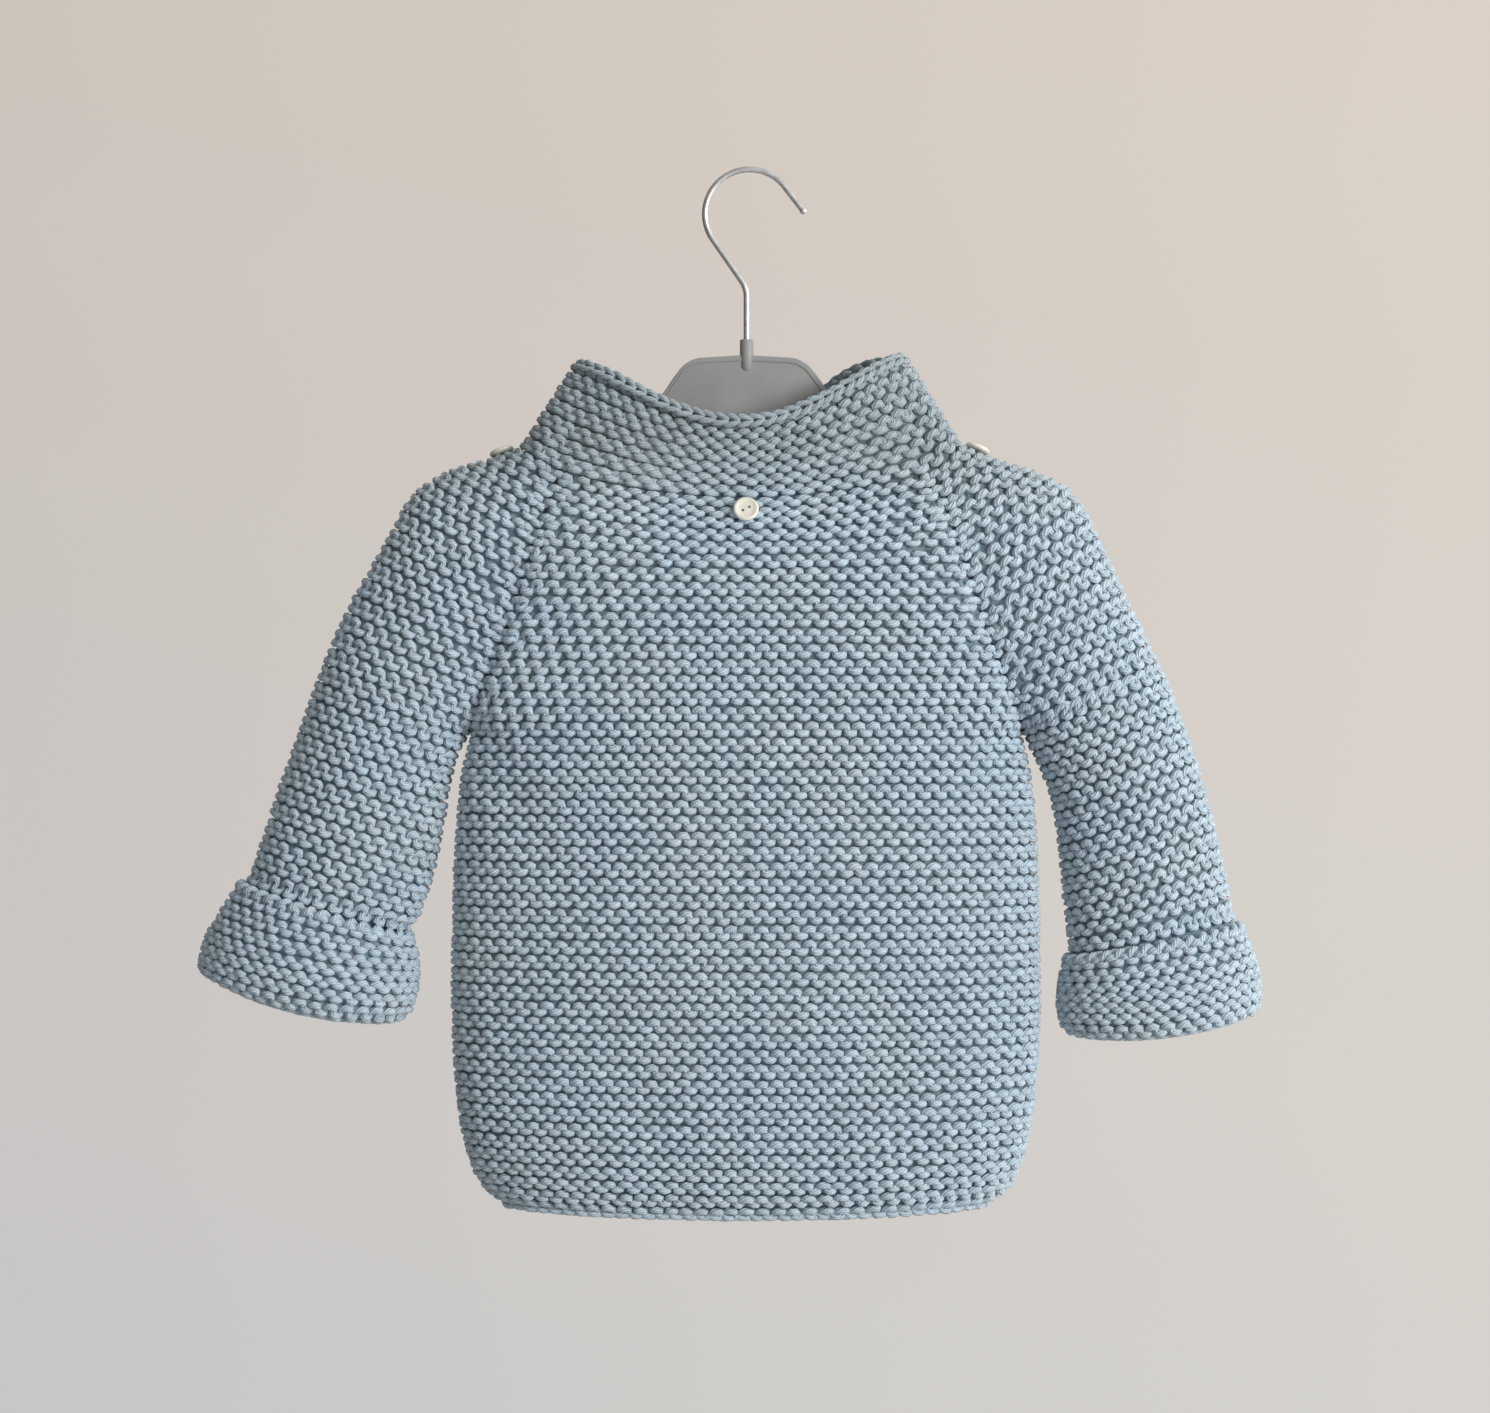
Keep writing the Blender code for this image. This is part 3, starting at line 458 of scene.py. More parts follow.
def front_surface(side, row, share, depth):
    """A front, from its side seam (share 0) past the middle (share 0.5). The left one lies over the other."""
    x, y, z = body_section(row, share * math.pi, depth, "front_depth", "front_dip")
    lift = LAP_LIFT * ease((LAP_START + x) / (LAP_START - LAP_FLAT))
    return stack(x, y + lift, z) if side == "left" else stack(-x, y - lift, z)


def cuff_section(side, share, depth):
    """Ends of a cuff's section, its half depth and its sag, at a depth under its surface."""
    table = CUFF[side]
    inner = stack(table.read("inner_x", share), 0.0, table.read("inner_z", share))
    outer = stack(table.read("outer_x", share), 0.0, table.read("outer_z", share))
    way = unit(outer - inner)
    depth = np.asarray(depth, dtype=float)[..., None]
    half_depth = table.read("half_depth", share) - depth[..., 0]
    return inner + way * depth, outer - way * depth, half_depth, table.read("sag", share)


def sleeve_section(side, row, depth):
    """Ends of a sleeve's section at a row, its half depth, seam depth and sag."""
    row = np.asarray(row, dtype=float)
    depth = np.broadcast_to(np.asarray(depth, dtype=float), row.shape)
    edge_row = CUFF_EDGE_ROW[side]
    below = ease(row - UNDERARM_ROW + 1)
    outer = stack(SLEEVE_OUTER[side].read("x", row), 0.0, SLEEVE_OUTER[side].read("z", row))
    under = stack(SLEEVE_INNER[side].read("x", row), 0.0, SLEEVE_INNER[side].read("z", row))
    raglan = stack(BODY.read("half_width", row), 0.0, BODY.read("height", row))
    inner = np.where((row < UNDERARM_ROW)[..., None], raglan, under)
    inner = inner + np.array([SEAM_GAP / 2, 0.0, 0.0])
    way = unit(outer - inner)
    inner = inner + way * (depth * below)[..., None]
    outer = outer - way * depth[..., None]
    half_depth = SLEEVE_OUTER[side].read("half_depth", row) - depth
    last_row = SLEEVE_OUTER[side].values[-1, 0]
    into_cuff = ease((row - last_row) / (edge_row - last_row))
    share = np.clip((row - edge_row) / CUFF_ROWS, 0.0, 1.0) * SLEEVE_END_SHARE
    covered = cuff_section(side, share, depth - FURROW + CUFF_WALL + CUFF_FREE_PLAY)
    inner = inner + (covered[0] - inner) * into_cuff[..., None]
    outer = outer + (covered[1] - outer) * into_cuff[..., None]
    half_depth = half_depth + (covered[2] - half_depth) * into_cuff
    seam = np.maximum(BODY.read("seam_depth", row) - depth * (1 - below), SEAM_GAP / 2)
    return inner, outer, half_depth, seam, covered[3] * into_cuff


def tube_point(inner, outer, half_depth, seam, sag, share):
    """A point round a flattened tube, from the seam's near edge (share 0) by the outer line to the far."""
    start = np.arcsin(np.clip(seam / half_depth, 0.0, 1.0))
    turn = start + share * (2 * math.pi - 2 * start)
    along = (np.cos(start) - np.cos(turn)) / (1 + np.cos(start))
    way = outer - inner
    down = stack(way[..., 2], 0.0, -way[..., 0]) / np.linalg.norm(way, axis=-1, keepdims=True)
    centre = inner + way * along[..., None] + down * (sag * np.sin(turn) ** 2)[..., None]
    return centre - stack(0.0, half_depth * np.sin(turn), 0.0)


def mirrored(points, side):
    return points * np.array([-1.0, 1.0, 1.0]) if side == "left" else points


def sleeve_surface(side, row, share, depth):
    """A sleeve, from its back edge (share 0) over the shoulder line (share 0.5) to its front edge."""
    row, share, depth = broadcast(row, share, depth)
    return mirrored(tube_point(*sleeve_section(side, row, depth), share), side)


def cuff_surface(side, cuff_share, share, depth):
    """A cuff, at a share of its height from the free edge and a share of the way round."""
    cuff_share, share, depth = broadcast(cuff_share, share, depth)
    inner, outer, half_depth, sag = cuff_section(side, cuff_share, depth)
    return mirrored(tube_point(inner, outer, half_depth, np.zeros_like(share), sag, share), side)


def collar_angle(neck_share):
    """Angle round the collar's top edge for a place round the neck: the shoulders stay at its sides."""
    away = np.abs(neck_share - 0.5)
    shoulder = 0.5 - SHOULDER_SHARE
    front = (away - shoulder) / (0.5 - shoulder)
    turn = np.where(away < shoulder, away / shoulder, 1 + front) * math.pi / 2
    return np.sign(0.5 - neck_share) * turn


def collar_edge(neck_share, depth):
    """The collar's top edge."""
    turn = collar_angle(neck_share)
    x = COLLAR_MIDDLE_X - (COLLAR_HALF_WIDTH - depth) * np.sin(turn)
    y = -(COLLAR_HALF_DEPTH - depth) * np.cos(turn)
    middle = np.where(np.cos(turn) > 0, COLLAR_BACK_HEIGHT, COLLAR_FRONT_HEIGHT)
    side = np.where(turn > 0, COLLAR_SIDE_HEIGHT["left"], COLLAR_SIDE_HEIGHT["right"])
    front = np.where(turn > 0, COLLAR_FRONT_ROUNDING["left"], COLLAR_FRONT_ROUNDING["right"])
    rounding = np.where(np.cos(turn) > 0, COLLAR_BACK_ROUNDING, front)
    z = side + (middle - side) * np.abs(np.cos(turn)) ** rounding
    return stack(x, y, z)


def collar_surface(neck_point, neck_share, level, depth):
    """The collar at a level from 0 at the neck to 1 at its top edge, above a point of the neck's edge."""
    base = neck_point + np.array([0.0, 0.0, SEAM_GAP])
    return base + (collar_edge(neck_share, depth) - base) * level


# Distance between stitches along a row.
PITCH = Table("row pitch", [
    (0, 0.0086),
    (9, 0.0080),
    (17, 0.0074),
    (30, 0.0072),
    (49, 0.0072),
])
SLEEVE_PITCH = Table("row pitch", [
    (0, 0.0082),
    (10, 0.0076),
    (30, 0.0072),
])
CUFF_PITCH = 0.0072

# Each sleeve's ridges, counted as they are seen, at the rows of its tables.
SLEEVE_RIDGES = {
    "left": Table("point ridge row", [
        (0, 0.0, 0.0),
        (1, 28.0, 28.0),
        (2, 28.28, 28.33),
        (3, 28.55, 28.5),
        (4, 28.82, 28.67),
        (5, 29.1, 29.0),
        (6, 35.1, 35.0),
    ]),
    "right": Table("point ridge row", [
        (0, 0.0, 0.0),
        (1, 29.5, 29.5),
        (2, 29.95, 29.83),
        (3, 30.4, 30.0),
        (4, 30.85, 30.17),
        (5, 31.4, 30.5),
        (6, 37.4, 36.5),
    ]),
}
COLLAR_STITCHES = 55
CUFF_RIDGES = 7

# Where a raglan's holes are, in stitches from the seam, on an arm's side or on the body's, and how open.
HOLE_PLACES = {
    "arm": Table("row stitches strength", [(0, 0.7, 0.6), (3, 0.95, 1.0), (9, 1.8, 0.9), (17, 1.9, 0.3)]),
    "body": Table("row stitches strength", [(0, 2.9, 0.4), (5, 2.1, 1.0), (11, 0.8, 0.9), (17, 0.8, 0.3)]),
}

# A leg of a chain's link, from the bend behind the link before (reach 0) to its point (reach 1): its place
# along the chain in links, and how far it lies across it and over it.
CHAIN_LINK = Table("reach place across rise", [
    (0.00, -0.10, 0.00, -1.0),
    (0.14, -0.08, 0.62, -0.5),
    (0.32, 0.10, 1.00, 0.2),
    (0.65, 0.56, 0.74, 0.6),
    (1.00, 1.14, 0.20, -0.4),
])

# Soft troughs in the hung cloth, on the back and, alike, on the hidden front: each runs from one point to
# another in x and z, so wide and so deep.
TROUGHS = Table("trough x0 z0 x1 z1 width depth", [
    (0, -0.126, -0.262, -0.096, -0.318, 0.010, 0.0016),
    (1, 0.128, -0.262, 0.102, -0.330, 0.010, 0.0016),
    (2, -0.070, -0.395, -0.035, -0.475, 0.014, 0.0012),
    (3, 0.060, -0.380, 0.080, -0.470, 0.013, 0.0011),
    (4, -0.172, -0.300, -0.205, -0.322, 0.007, 0.0014),
    (5, 0.168, -0.308, 0.205, -0.325, 0.007, 0.0014),
    (6, -0.020, -0.300, 0.045, -0.318, 0.016, 0.0009),
])


def settle(points):
    """Press the troughs into points of the cloth, towards the hanger's plane."""
    flat = points[..., [0, 2]]
    sink = np.zeros(points.shape[:-1])
    for x0, z0, x1, z1, width, depth in TROUGHS.values[:, 1:]:
        start = np.array([x0, z0])
        way = np.array([x1 - x0, z1 - z0])
        along = np.clip(((flat - start) @ way) / (way @ way), 0.0, 1.0)
        away = np.linalg.norm(flat - start - along[..., None] * way, axis=-1)
        sink = np.maximum(sink, depth * np.exp(-((away / width) ** 2)))
    result = points.copy()
    result[..., 1] -= sink * np.tanh(points[..., 1] / 0.006)
    return result


def neck_point(neck_share, depth):
    """A point of the neck's edge, at a share of the way from the left front's edge to the right one's."""
    neck_share, depth = broadcast(neck_share, depth)
    front_end = float(front_share(0, -LAP))
    runs = [
        lambda s, d: front_surface("left", 0, front_end * (1 - s), d),
        lambda s, d: sleeve_surface("left", 0, 1 - s, d),
        lambda s, d: back_surface(0, s, d),
        lambda s, d: sleeve_surface("right", 0, s, d),
        lambda s, d: front_surface("right", 0, front_end * s, d),
    ]
    points = np.zeros(neck_share.shape + (3,))
    for piece, run in enumerate(runs):
        start = NECK_SHARES.values[piece, 1]
        end = NECK_SHARES.values[piece, 2]
        here = (neck_share >= start) & (neck_share <= end)
        local = (neck_share[here] - start) / (end - start)
        points[here] = run(local, depth[here])
    return points


def collar_rows_surface(row, share, depth):
    """The collar with its rows counted down from its top edge."""
    row, share, depth = broadcast(row, share, depth)
    point = neck_point(share, depth)
    return collar_surface(point, share, (1 - row / COLLAR_ROWS)[..., None], depth)


class Knit:
    """A knitted piece: its surface over rows and shares, and how its stitches lie along a row."""

    def __init__(self, name, surface, rows, pitch, anchor=0.5, flip=1, end_share=None, stitches=None,
                 covered=0.0, raglans=(), holes=(), stitch_points=STITCH_POINTS):
        self.name = name
        self.raw = surface
        self.rows = rows
        self.covered = covered
        self.raglans = raglans
        self.holes = holes
        self.stitch_points = stitch_points
        self.pitch = pitch
        self.anchor = anchor
        self.flip = flip
        self.end_share = end_share or (lambda row: 1.0)
        self.stitches = stitches

    def at(self, row, share, depth):
        return settle(self.raw(row, share, depth))

    def line(self, row, shares, depth):
        """Points along one row at one depth."""
        return self.at(np.full(len(shares), float(row)), shares, np.full(len(shares), float(depth)))

    def outward(self, row, share, depth):
        """Unit normals on the outside of the cloth."""
        small_share = 0.002
        small_row = 0.06
        low = np.clip(share - small_share, 0.0, 1.0)
        high = np.clip(share + small_share, 0.0, 1.0)
        over = self.at(row, high, depth) - self.at(row, low, depth)
        up = np.clip(row - small_row, 0.0, self.rows)
        down = np.clip(row + small_row, 0.0, self.rows)
        along = self.at(down, share, depth) - self.at(up, share, depth)
        normal = unit(np.cross(over, along))
        inward = self.at(row, share, depth + 0.0004) - self.at(row, share, depth)
        turned = np.sum(normal * inward, axis=-1) > 0
        normal[turned] *= -1
        return normal

    def along_row(self, row):
        """Shares over one row with their distance from the anchor, counted in stitches."""
        shares = np.linspace(0.0, self.end_share(row), 161)
        distance = distances(self.line(row, shares, YARN_RADIUS))
        if self.stitches:
            return shares, (distance / distance[-1] - 0.5) * self.stitches
        distance -= np.interp(self.anchor * self.end_share(row), shares, distance)
        return shares, distance / self.pitch.read("pitch", row)

    def row_height(self, row, share):
        """Distance between the furrows above and below a row."""
        steps = self.at(row + 0.5, share, 0.001) - self.at(row - 0.5, share, 0.001)
        return np.linalg.norm(steps, axis=-1)


def put(name, data):
    """Add an object to the scene."""
    piece = bpy.data.objects.new(name, data)
    bpy.context.scene.collection.objects.link(piece)
    return piece


def mesh_data(name, mesh):
    """Turn a working mesh into a named one, and let go of it."""
    data = bpy.data.meshes.new(name)
    mesh.to_mesh(data)
    mesh.free()
    return data


class Tubes:
    """Many tubes gathered into one mesh, with each one's length and turn as its texture coordinates."""

    def __init__(self, sides=YARN_SIDES):
        self.sides = sides
        self.points = []
        self.quads = []
        self.ends = []
        self.lengths = []
        self.count = 0

    def add(self, centres, outward, radius, start_length=0.0):
        along = unit(np.gradient(centres, axis=0))
        normal = unit(outward - along * np.sum(outward * along, axis=1, keepdims=True))
        across = np.cross(normal, along)
        turn = (np.arange(self.sides) * 2 * math.pi / self.sides)[None, :, None]
        radius = np.broadcast_to(radius, len(centres))[:, None, None]
        ring = np.cos(turn) * across[:, None, :] + np.sin(turn) * normal[:, None, :]
        self.points.append((centres[:, None, :] + radius * ring).reshape(-1, 3))
        self.lengths.append(start_length + distances(centres))
        count = len(centres)
        i = np.arange(count - 1)[:, None] * self.sides + self.count
        j = np.arange(self.sides)[None, :]
        k = (j + 1) % self.sides
        quads = np.stack((i + j, i + k, i + self.sides + k, i + self.sides + j), axis=-1)
        self.quads.append(quads.reshape(-1, 4))
        first = self.count + np.arange(self.sides)[::-1]
        last = self.count + (count - 1) * self.sides + np.arange(self.sides)
        self.ends += [first, last]
        self.count += count * self.sides

    def build(self, name, material):
        points = np.concatenate(self.points)
        quads = np.concatenate(self.quads)
        ends = np.array(self.ends)
        mesh = bpy.data.meshes.new(name)
        mesh.vertices.add(len(points))
        mesh.vertices.foreach_set("co", points.astype(np.float32).ravel())
        corners = np.concatenate((quads.ravel(), ends.ravel()))
        mesh.loops.add(len(corners))
        mesh.loops.foreach_set("vertex_index", corners.astype(np.int32))
        sizes = np.concatenate((np.full(len(quads), 4), np.full(len(ends), self.sides)))
        mesh.polygons.add(len(sizes))
        starts = np.concatenate(([0], np.cumsum(sizes)[:-1]))
        mesh.polygons.foreach_set("loop_start", starts.astype(np.int32))
        mesh.update(calc_edges=True)
        lengths = np.concatenate(self.lengths)
        u = lengths[corners // self.sides]
        v = (corners % self.sides) / self.sides
        last_side = np.zeros(len(corners), dtype=bool)
        last_side[:quads.size] = np.tile([False, True, True, False], len(quads))
        v = np.where(last_side & (v == 0), 1.0, v)
        uv = mesh.uv_layers.new(name="yarn")
        uv.data.foreach_set("uv", np.stack((u, v), axis=-1).astype(np.float32).ravel())
        mesh.polygons.foreach_set("use_smooth", np.ones(len(sizes), dtype=bool))
        mesh.validate()
        mesh.materials.append(material)
        return put(name, mesh)


def wander(rng, knots, at, amount):
    """A smooth random walk read at places along a row."""
    return np.interp(at, knots, rng.normal(0.0, amount, len(knots)))


def column_drift(row, t):
    """How far the columns of stitches stray sideways, in stitches."""
    return 0.20 * np.sin(0.23 * row + 0.6 * np.sin(0.11 * t)) + 0.10 * np.sin(0.41 * t + 0.35 * row)


def seam_of(stitches, end):
    """The seam at one end of a row, counted in stitches, and the direction from it into the piece."""
    return (stitches[-1], -1) if end else (stitches[0], 1)


def raglan_places(knit, row, stitches):
    """The seams at a row's ends, its pairs of holes with their strength, and its tight places."""
    seams, holes, tight = [], [], []
    if row < UNDERARM_ROW:
        for end in knit.raglans:
            seam, inwards = seam_of(stitches, end)
            seams.append(seam)
            if end in knit.holes:
                table = HOLE_PLACES["arm" if "sleeve" in knit.name else "body"]
                holes.append((seam + inwards * table.read("stitches", row), table.read("strength", row)))
            else:
                tight.append(seam + inwards * TIGHT_PLACE)
    return seams, holes, tight


def bell(away, width):
    """1 at a place, falling smoothly to 0 over a few widths from it."""
    return np.exp(-((away / width) ** 2))


def stitch_depth(phase):
    """Depth of a stitch's yarn under the ridges' tops."""
    return YARN_RADIUS + STITCH_DIVE * np.sin(phase) ** 2 - STITCH_TUCK * np.sin(phase)


def add_yarn_row(tubes, knit, row, rng):
    """One ridge's yarn: arches over its top and cups under it, each stitch half turned into the next."""
    shares, stitches = knit.along_row(row)
    seams, holes, tight = raglan_places(knit, row, stitches)
    first = stitches[0] + (RAGLAN_STOP if stitches[0] in seams else 0.0)
    last = stitches[-1] - (RAGLAN_STOP if stitches[-1] in seams else 0.0)
    count = max(int(round((last - first) * knit.stitch_points)), 8)
    t = np.linspace(first, last, count + 1)
    if knit.flip < 0:
        shares, stitches = shares[::-1], -stitches[::-1]
        t = -t[::-1]
        seams = [-seam for seam in seams]
        holes = [(-place, strength) for place, strength in holes]
        tight = [-place for place in tight]
    nothing = np.zeros_like(t)
    from_seam = np.min([np.abs(t - seam) for seam in seams] + [np.full_like(t, 99.0)], axis=0)
    uneven = bell(from_seam, RAGLAN_REACH)
    knots = np.arange(math.floor(t[0]) - 1, math.ceil(t[-1]) + 2, 0.5)

    def stray(amount):
        return wander(rng, knots, t, amount)

    drift = column_drift(row, t)
    phase = 2 * math.pi * (t + stray(STRAY_PHASE) + uneven * stray(RAGLAN_STRAY))
    sway = STITCH_SWAY * (1 + stray(UNEVEN_SWAY))
    place = t + sway * np.sin(2 * phase) + stray(STRAY_PLACE) + uneven * stray(RAGLAN_STRAY)
    share = np.interp(place + drift - drift[len(t) // 2], stitches, shares)
    height = np.maximum(knit.row_height(np.full_like(share, row), share), 0.002)
    swing = np.clip(0.5 - STITCH_PACKING * YARN_RADIUS / height, SWING_LEAST, SWING_MOST)
    swing = swing * (1 + stray(UNEVEN_SWING))
    pinch = nothing
    for hole, strength in holes:
        pinch = pinch + strength * bell(np.abs(t - hole) - HOLE_SPREAD, HOLE_WIDTH)
    knot = sum((bell(t - spot, TIGHT_WIDTH) for spot in tight), nothing)
    at_row = row - swing * (1 - HOLE_PINCH * pinch) * np.cos(phase) + stray(STRAY_ROW)
    at_row = at_row + uneven * stray(RAGLAN_STRAY_ROW) + knot * stray(TIGHT_STRAY_ROW)
    at_row = np.clip(at_row, 0.02, knit.rows - 0.02)
    depth = stitch_depth(phase) + stray(STRAY_DEPTH) + HOLE_DIVE * pinch + TIGHT_DIVE * knot
    centres = knit.at(at_row, share, depth)
    radius = YARN_RADIUS * (1 + STITCH_PLUMPNESS * np.cos(2 * phase) + stray(UNEVEN_YARN))
    radius = radius * (1 - HOLE_PINCH * pinch - TIGHT_PINCH * knot)
    tubes.add(centres, knit.outward(at_row, share, depth), radius, rng.uniform(0.0, 1.0))


def build_yarn(knit, material, rng, rows=None, name=None):
    tubes = Tubes()
    for number in range(knit.rows) if rows is None else rows:
        add_yarn_row(tubes, knit, number + 0.5, rng)
    return tubes.build(name or f"{knit.name}_yarn", material)


def shell_mesh(name, outer, inner, stitches, rows, material, closed=False):
    """Close an outer and an inner grid of points into a shell, with stitches and rows as coordinates."""
    points = np.array((outer, inner))
    height, width = points.shape[1:3]
    columns = len(stitches) - 1
    corners = []
    for layer in (0, 1):
        for row in range(height - 1):
            for column in range(columns):
                corners.append(((layer, row, column), (layer, row, column + 1),
                                (layer, row + 1, column + 1), (layer, row + 1, column)))
    for row in (0, height - 1):
        for column in range(columns):
            corners.append(((0, row, column), (0, row, column + 1), (1, row, column + 1), (1, row, column)))
    for column in () if closed else (0, columns):
        for row in range(height - 1):
            corners.append(((0, row, column), (0, row + 1, column), (1, row + 1, column), (1, row, column)))
    corners = np.array(corners)
    quads = (corners[..., 0] * height + corners[..., 1]) * width + corners[..., 2] % width
    data = bpy.data.meshes.new(name)
    data.from_pydata(points.reshape(-1, 3).tolist(), [], quads.tolist())
    places = np.stack((np.asarray(stitches)[corners[..., 2]], np.asarray(rows)[corners[..., 1]]), axis=-1)
    uv = data.uv_layers.new(name="stitches")
    uv.data.foreach_set("uv", places.astype(np.float32).ravel())
    data.polygons.foreach_set("use_smooth", np.ones(len(quads), dtype=bool))
    mesh = bmesh.new()
    mesh.from_mesh(data)
    bmesh.ops.recalc_face_normals(mesh, faces=mesh.faces[:])
    mesh.to_mesh(data)
    mesh.free()
    data.materials.append(material)
    return put(name, data)


def ridge_wave(rows):
    """1 in the furrows, at whole rows, and 0 on the ridges' tops."""
    return (1 + np.cos(2 * math.pi * rows)) / 2


def build_shell(knit, columns, material):
    """The cloth under the yarn: closely ridged outside and in."""
    last = knit.rows + knit.covered
    rows = np.linspace(0, last, int(math.ceil(last * SHELL_STEPS_PER_RIDGE)) + 1)
    outer = []
    inner = []
    for row, furrow in zip(rows, ridge_wave(rows)):
        shares = np.linspace(0.0, knit.end_share(row), columns + 1)
        outer.append(knit.line(row, shares, SHELL_DEPTH + SHELL_FURROW * furrow))
        inner.append(knit.line(row, shares, WALL - INSIDE_RELIEF * furrow))
    shares, stitches = knit.along_row(knit.rows / 2)
    stitches = np.interp(np.linspace(0.0, shares[-1], columns + 1), shares, stitches)
    return shell_mesh(f"{knit.name}_shell", outer, inner, stitches, rows, material)


def build_cuff_shell(knit, columns, material):
    """The cloth of a turned-back cuff: ridged outside, round at the fold, and open inside for the sleeve."""
    rows = np.linspace(0, CUFF_RIDGES, CUFF_RIDGES * SHELL_STEPS_PER_RIDGE + 1)
    shares = np.linspace(0.0, 1.0, columns, endpoint=False)
    outer_depths = SHELL_DEPTH - CUFF_SHELL_RAISE + SHELL_FURROW * ridge_wave(rows)
    fold = ease((rows / CUFF_RIDGES - FOLD_START_SHARE) / (FOLD_FULL_SHARE - FOLD_START_SHARE))
    inner_depths = CUFF_WALL + (CUFF_FOLD - CUFF_FOLD_ROOM - CUFF_WALL) * fold
    inner_depths[-1] = CUFF_FOLD * FOLD_ROUND_DEPTH
    outer = [knit.line(row, shares, depth) for row, depth in zip(rows, outer_depths)]
    inner = [knit.line(row, shares, depth) for row, depth in zip(rows, inner_depths)]
    known, counted = knit.along_row(knit.rows / 2)
    stitches = np.interp(np.linspace(0.0, 1.0, columns + 1), known, counted)
    return shell_mesh(f"{knit.name}_shell", outer, inner, stitches, rows, material, closed=True)


def fold_surface(side, row, share, depth):
    """Round the cuff's folded bottom: its lowest ridge (row 0.5) and the next one inside (row 1.5)."""
    turn = math.pi * (0.5 + 0.42 * (np.asarray(row, dtype=float) - 0.5))
    cuff_share = FOLD_ROUND_SHARE + (1 - FOLD_ROUND_SHARE) * np.sin(turn)
    middle = CUFF_FOLD / 2
    return cuff_surface(side, cuff_share, share, middle - (middle - depth) * np.cos(turn))


def build_edge(knit, material, rng, row, last_share=1.0, pitch=HEM_EDGE_PITCH, tilt=HEM_EDGE_TILT,
               lift=HEM_EDGE_LIFT, name="hem_edge"):
    """A chain along a piece's edge at a row: each link's two legs meet in a point under the next link."""
    tubes = Tubes()
    shares = np.linspace(0.0, last_share, EDGE_SAMPLES)
    edge = knit.line(row, shares, WALL / 2)
    up = unit(edge - knit.line(row + (0.5 if row < knit.rows / 2 else -0.5), shares, WALL / 2))
    near_row = np.full_like(shares, min(max(row, 0.1), knit.rows - 0.1))
    out = knit.outward(near_row, shares, np.full_like(shares, WALL / 2))
    distance = distances(edge)
    links = max(int(round(distance[-1] / pitch)), 2)
    lift = np.broadcast_to(lift, shares.shape)
    leg = np.linspace(-1.0, 1.0, CHAIN_POINTS)
    reach = np.abs(leg)
    for link in range(links):
        place = (link + CHAIN_LINK.read("place", reach) + rng.normal(0.0, 0.04)) * distance[-1] / links
        place = np.clip(place, 0.0, distance[-1])
        here, up_here, out_here = (read_along(place, distance, values) for values in (edge, up, out))
        across = out_here * math.sin(tilt) - up_here * math.cos(tilt)
        front = up_here * math.sin(tilt) + out_here * math.cos(tilt)
        spread = CHAIN_HALF_WIDTH * CHAIN_LINK.read("across", reach) * (1 + rng.normal(0.0, 0.07))
        rise = np.interp(place, distance, lift) + CHAIN_WEAVE * CHAIN_LINK.read("rise", reach)
        points = here + across * (np.sign(leg) * spread)[:, None] + front * rise[:, None]
        tubes.add(points, front, CHAIN_RADIUS * (1 + rng.normal(0.0, 0.03)), rng.uniform(0.0, 1.0))
    return tubes.build(f"{knit.name}_{name}", material)


def seam_point(knit, end, row, distance, at_row, depth):
    """A point so many stitches into a piece from its raglan seam, with the outside's normal there."""
    shares, stitches = knit.along_row(row)
    seam, inwards = seam_of(stitches, end)
    share = np.interp(seam + inwards * distance, stitches, shares)
    return np.concatenate((knit.at(at_row, share, depth), knit.outward(at_row, share, depth)), axis=-1)


def add_seam_stitch(tubes, body, body_end, arm, arm_end, row, rng):
    """The stitch of one ridge that lies over a raglan, from the body into the arm."""
    t = np.linspace(-SEAM_REACH, SEAM_REACH, SEAM_POINTS)
    phase = 2 * math.pi * (t + SEAM_PHASE + rng.normal(0.0, 0.09))
    place = t + STITCH_SWAY * np.sin(2 * phase) + rng.normal(0.0, 0.06)
    at_row = np.clip(row - (SEAM_SWING + rng.normal(0.0, 0.02)) * np.cos(phase), 0.05, None)
    depth = stitch_depth(phase) + SEAM_END_DIVE * (np.abs(t) / SEAM_REACH) ** 4
    near = seam_point(body, body_end, row, np.maximum(-place, 0.0), at_row, depth)
    far = seam_point(arm, arm_end, row, np.maximum(place, 0.0), at_row, depth)
    both = np.where((place < 0)[:, None], near, far)
    radius = YARN_RADIUS * (SEAM_THICKNESS + STITCH_PLUMPNESS * np.cos(2 * phase))
    tubes.add(both[:, :3], both[:, 3:], radius, rng.uniform(0.0, 1.0))


def build_raglans(knits, material, rng):
    """The four raglan columns, each between a sleeve and the back or a front."""
    pieces = []
    for side, end in (("left", 0), ("right", 1)):
        arm = knits[f"{side}_sleeve"]
        for name, body, body_end, arm_end in (
            ("back", knits["back"], end, 0),
            ("front", knits[f"{side}_front"], 0, 1),
        ):
            tubes = Tubes()
            for ridge in range(UNDERARM_ROW):
                add_seam_stitch(tubes, body, body_end, arm, arm_end, ridge + 0.5, rng)
            pieces.append(tubes.build(f"{side}_{name}_raglan", material))
    return pieces


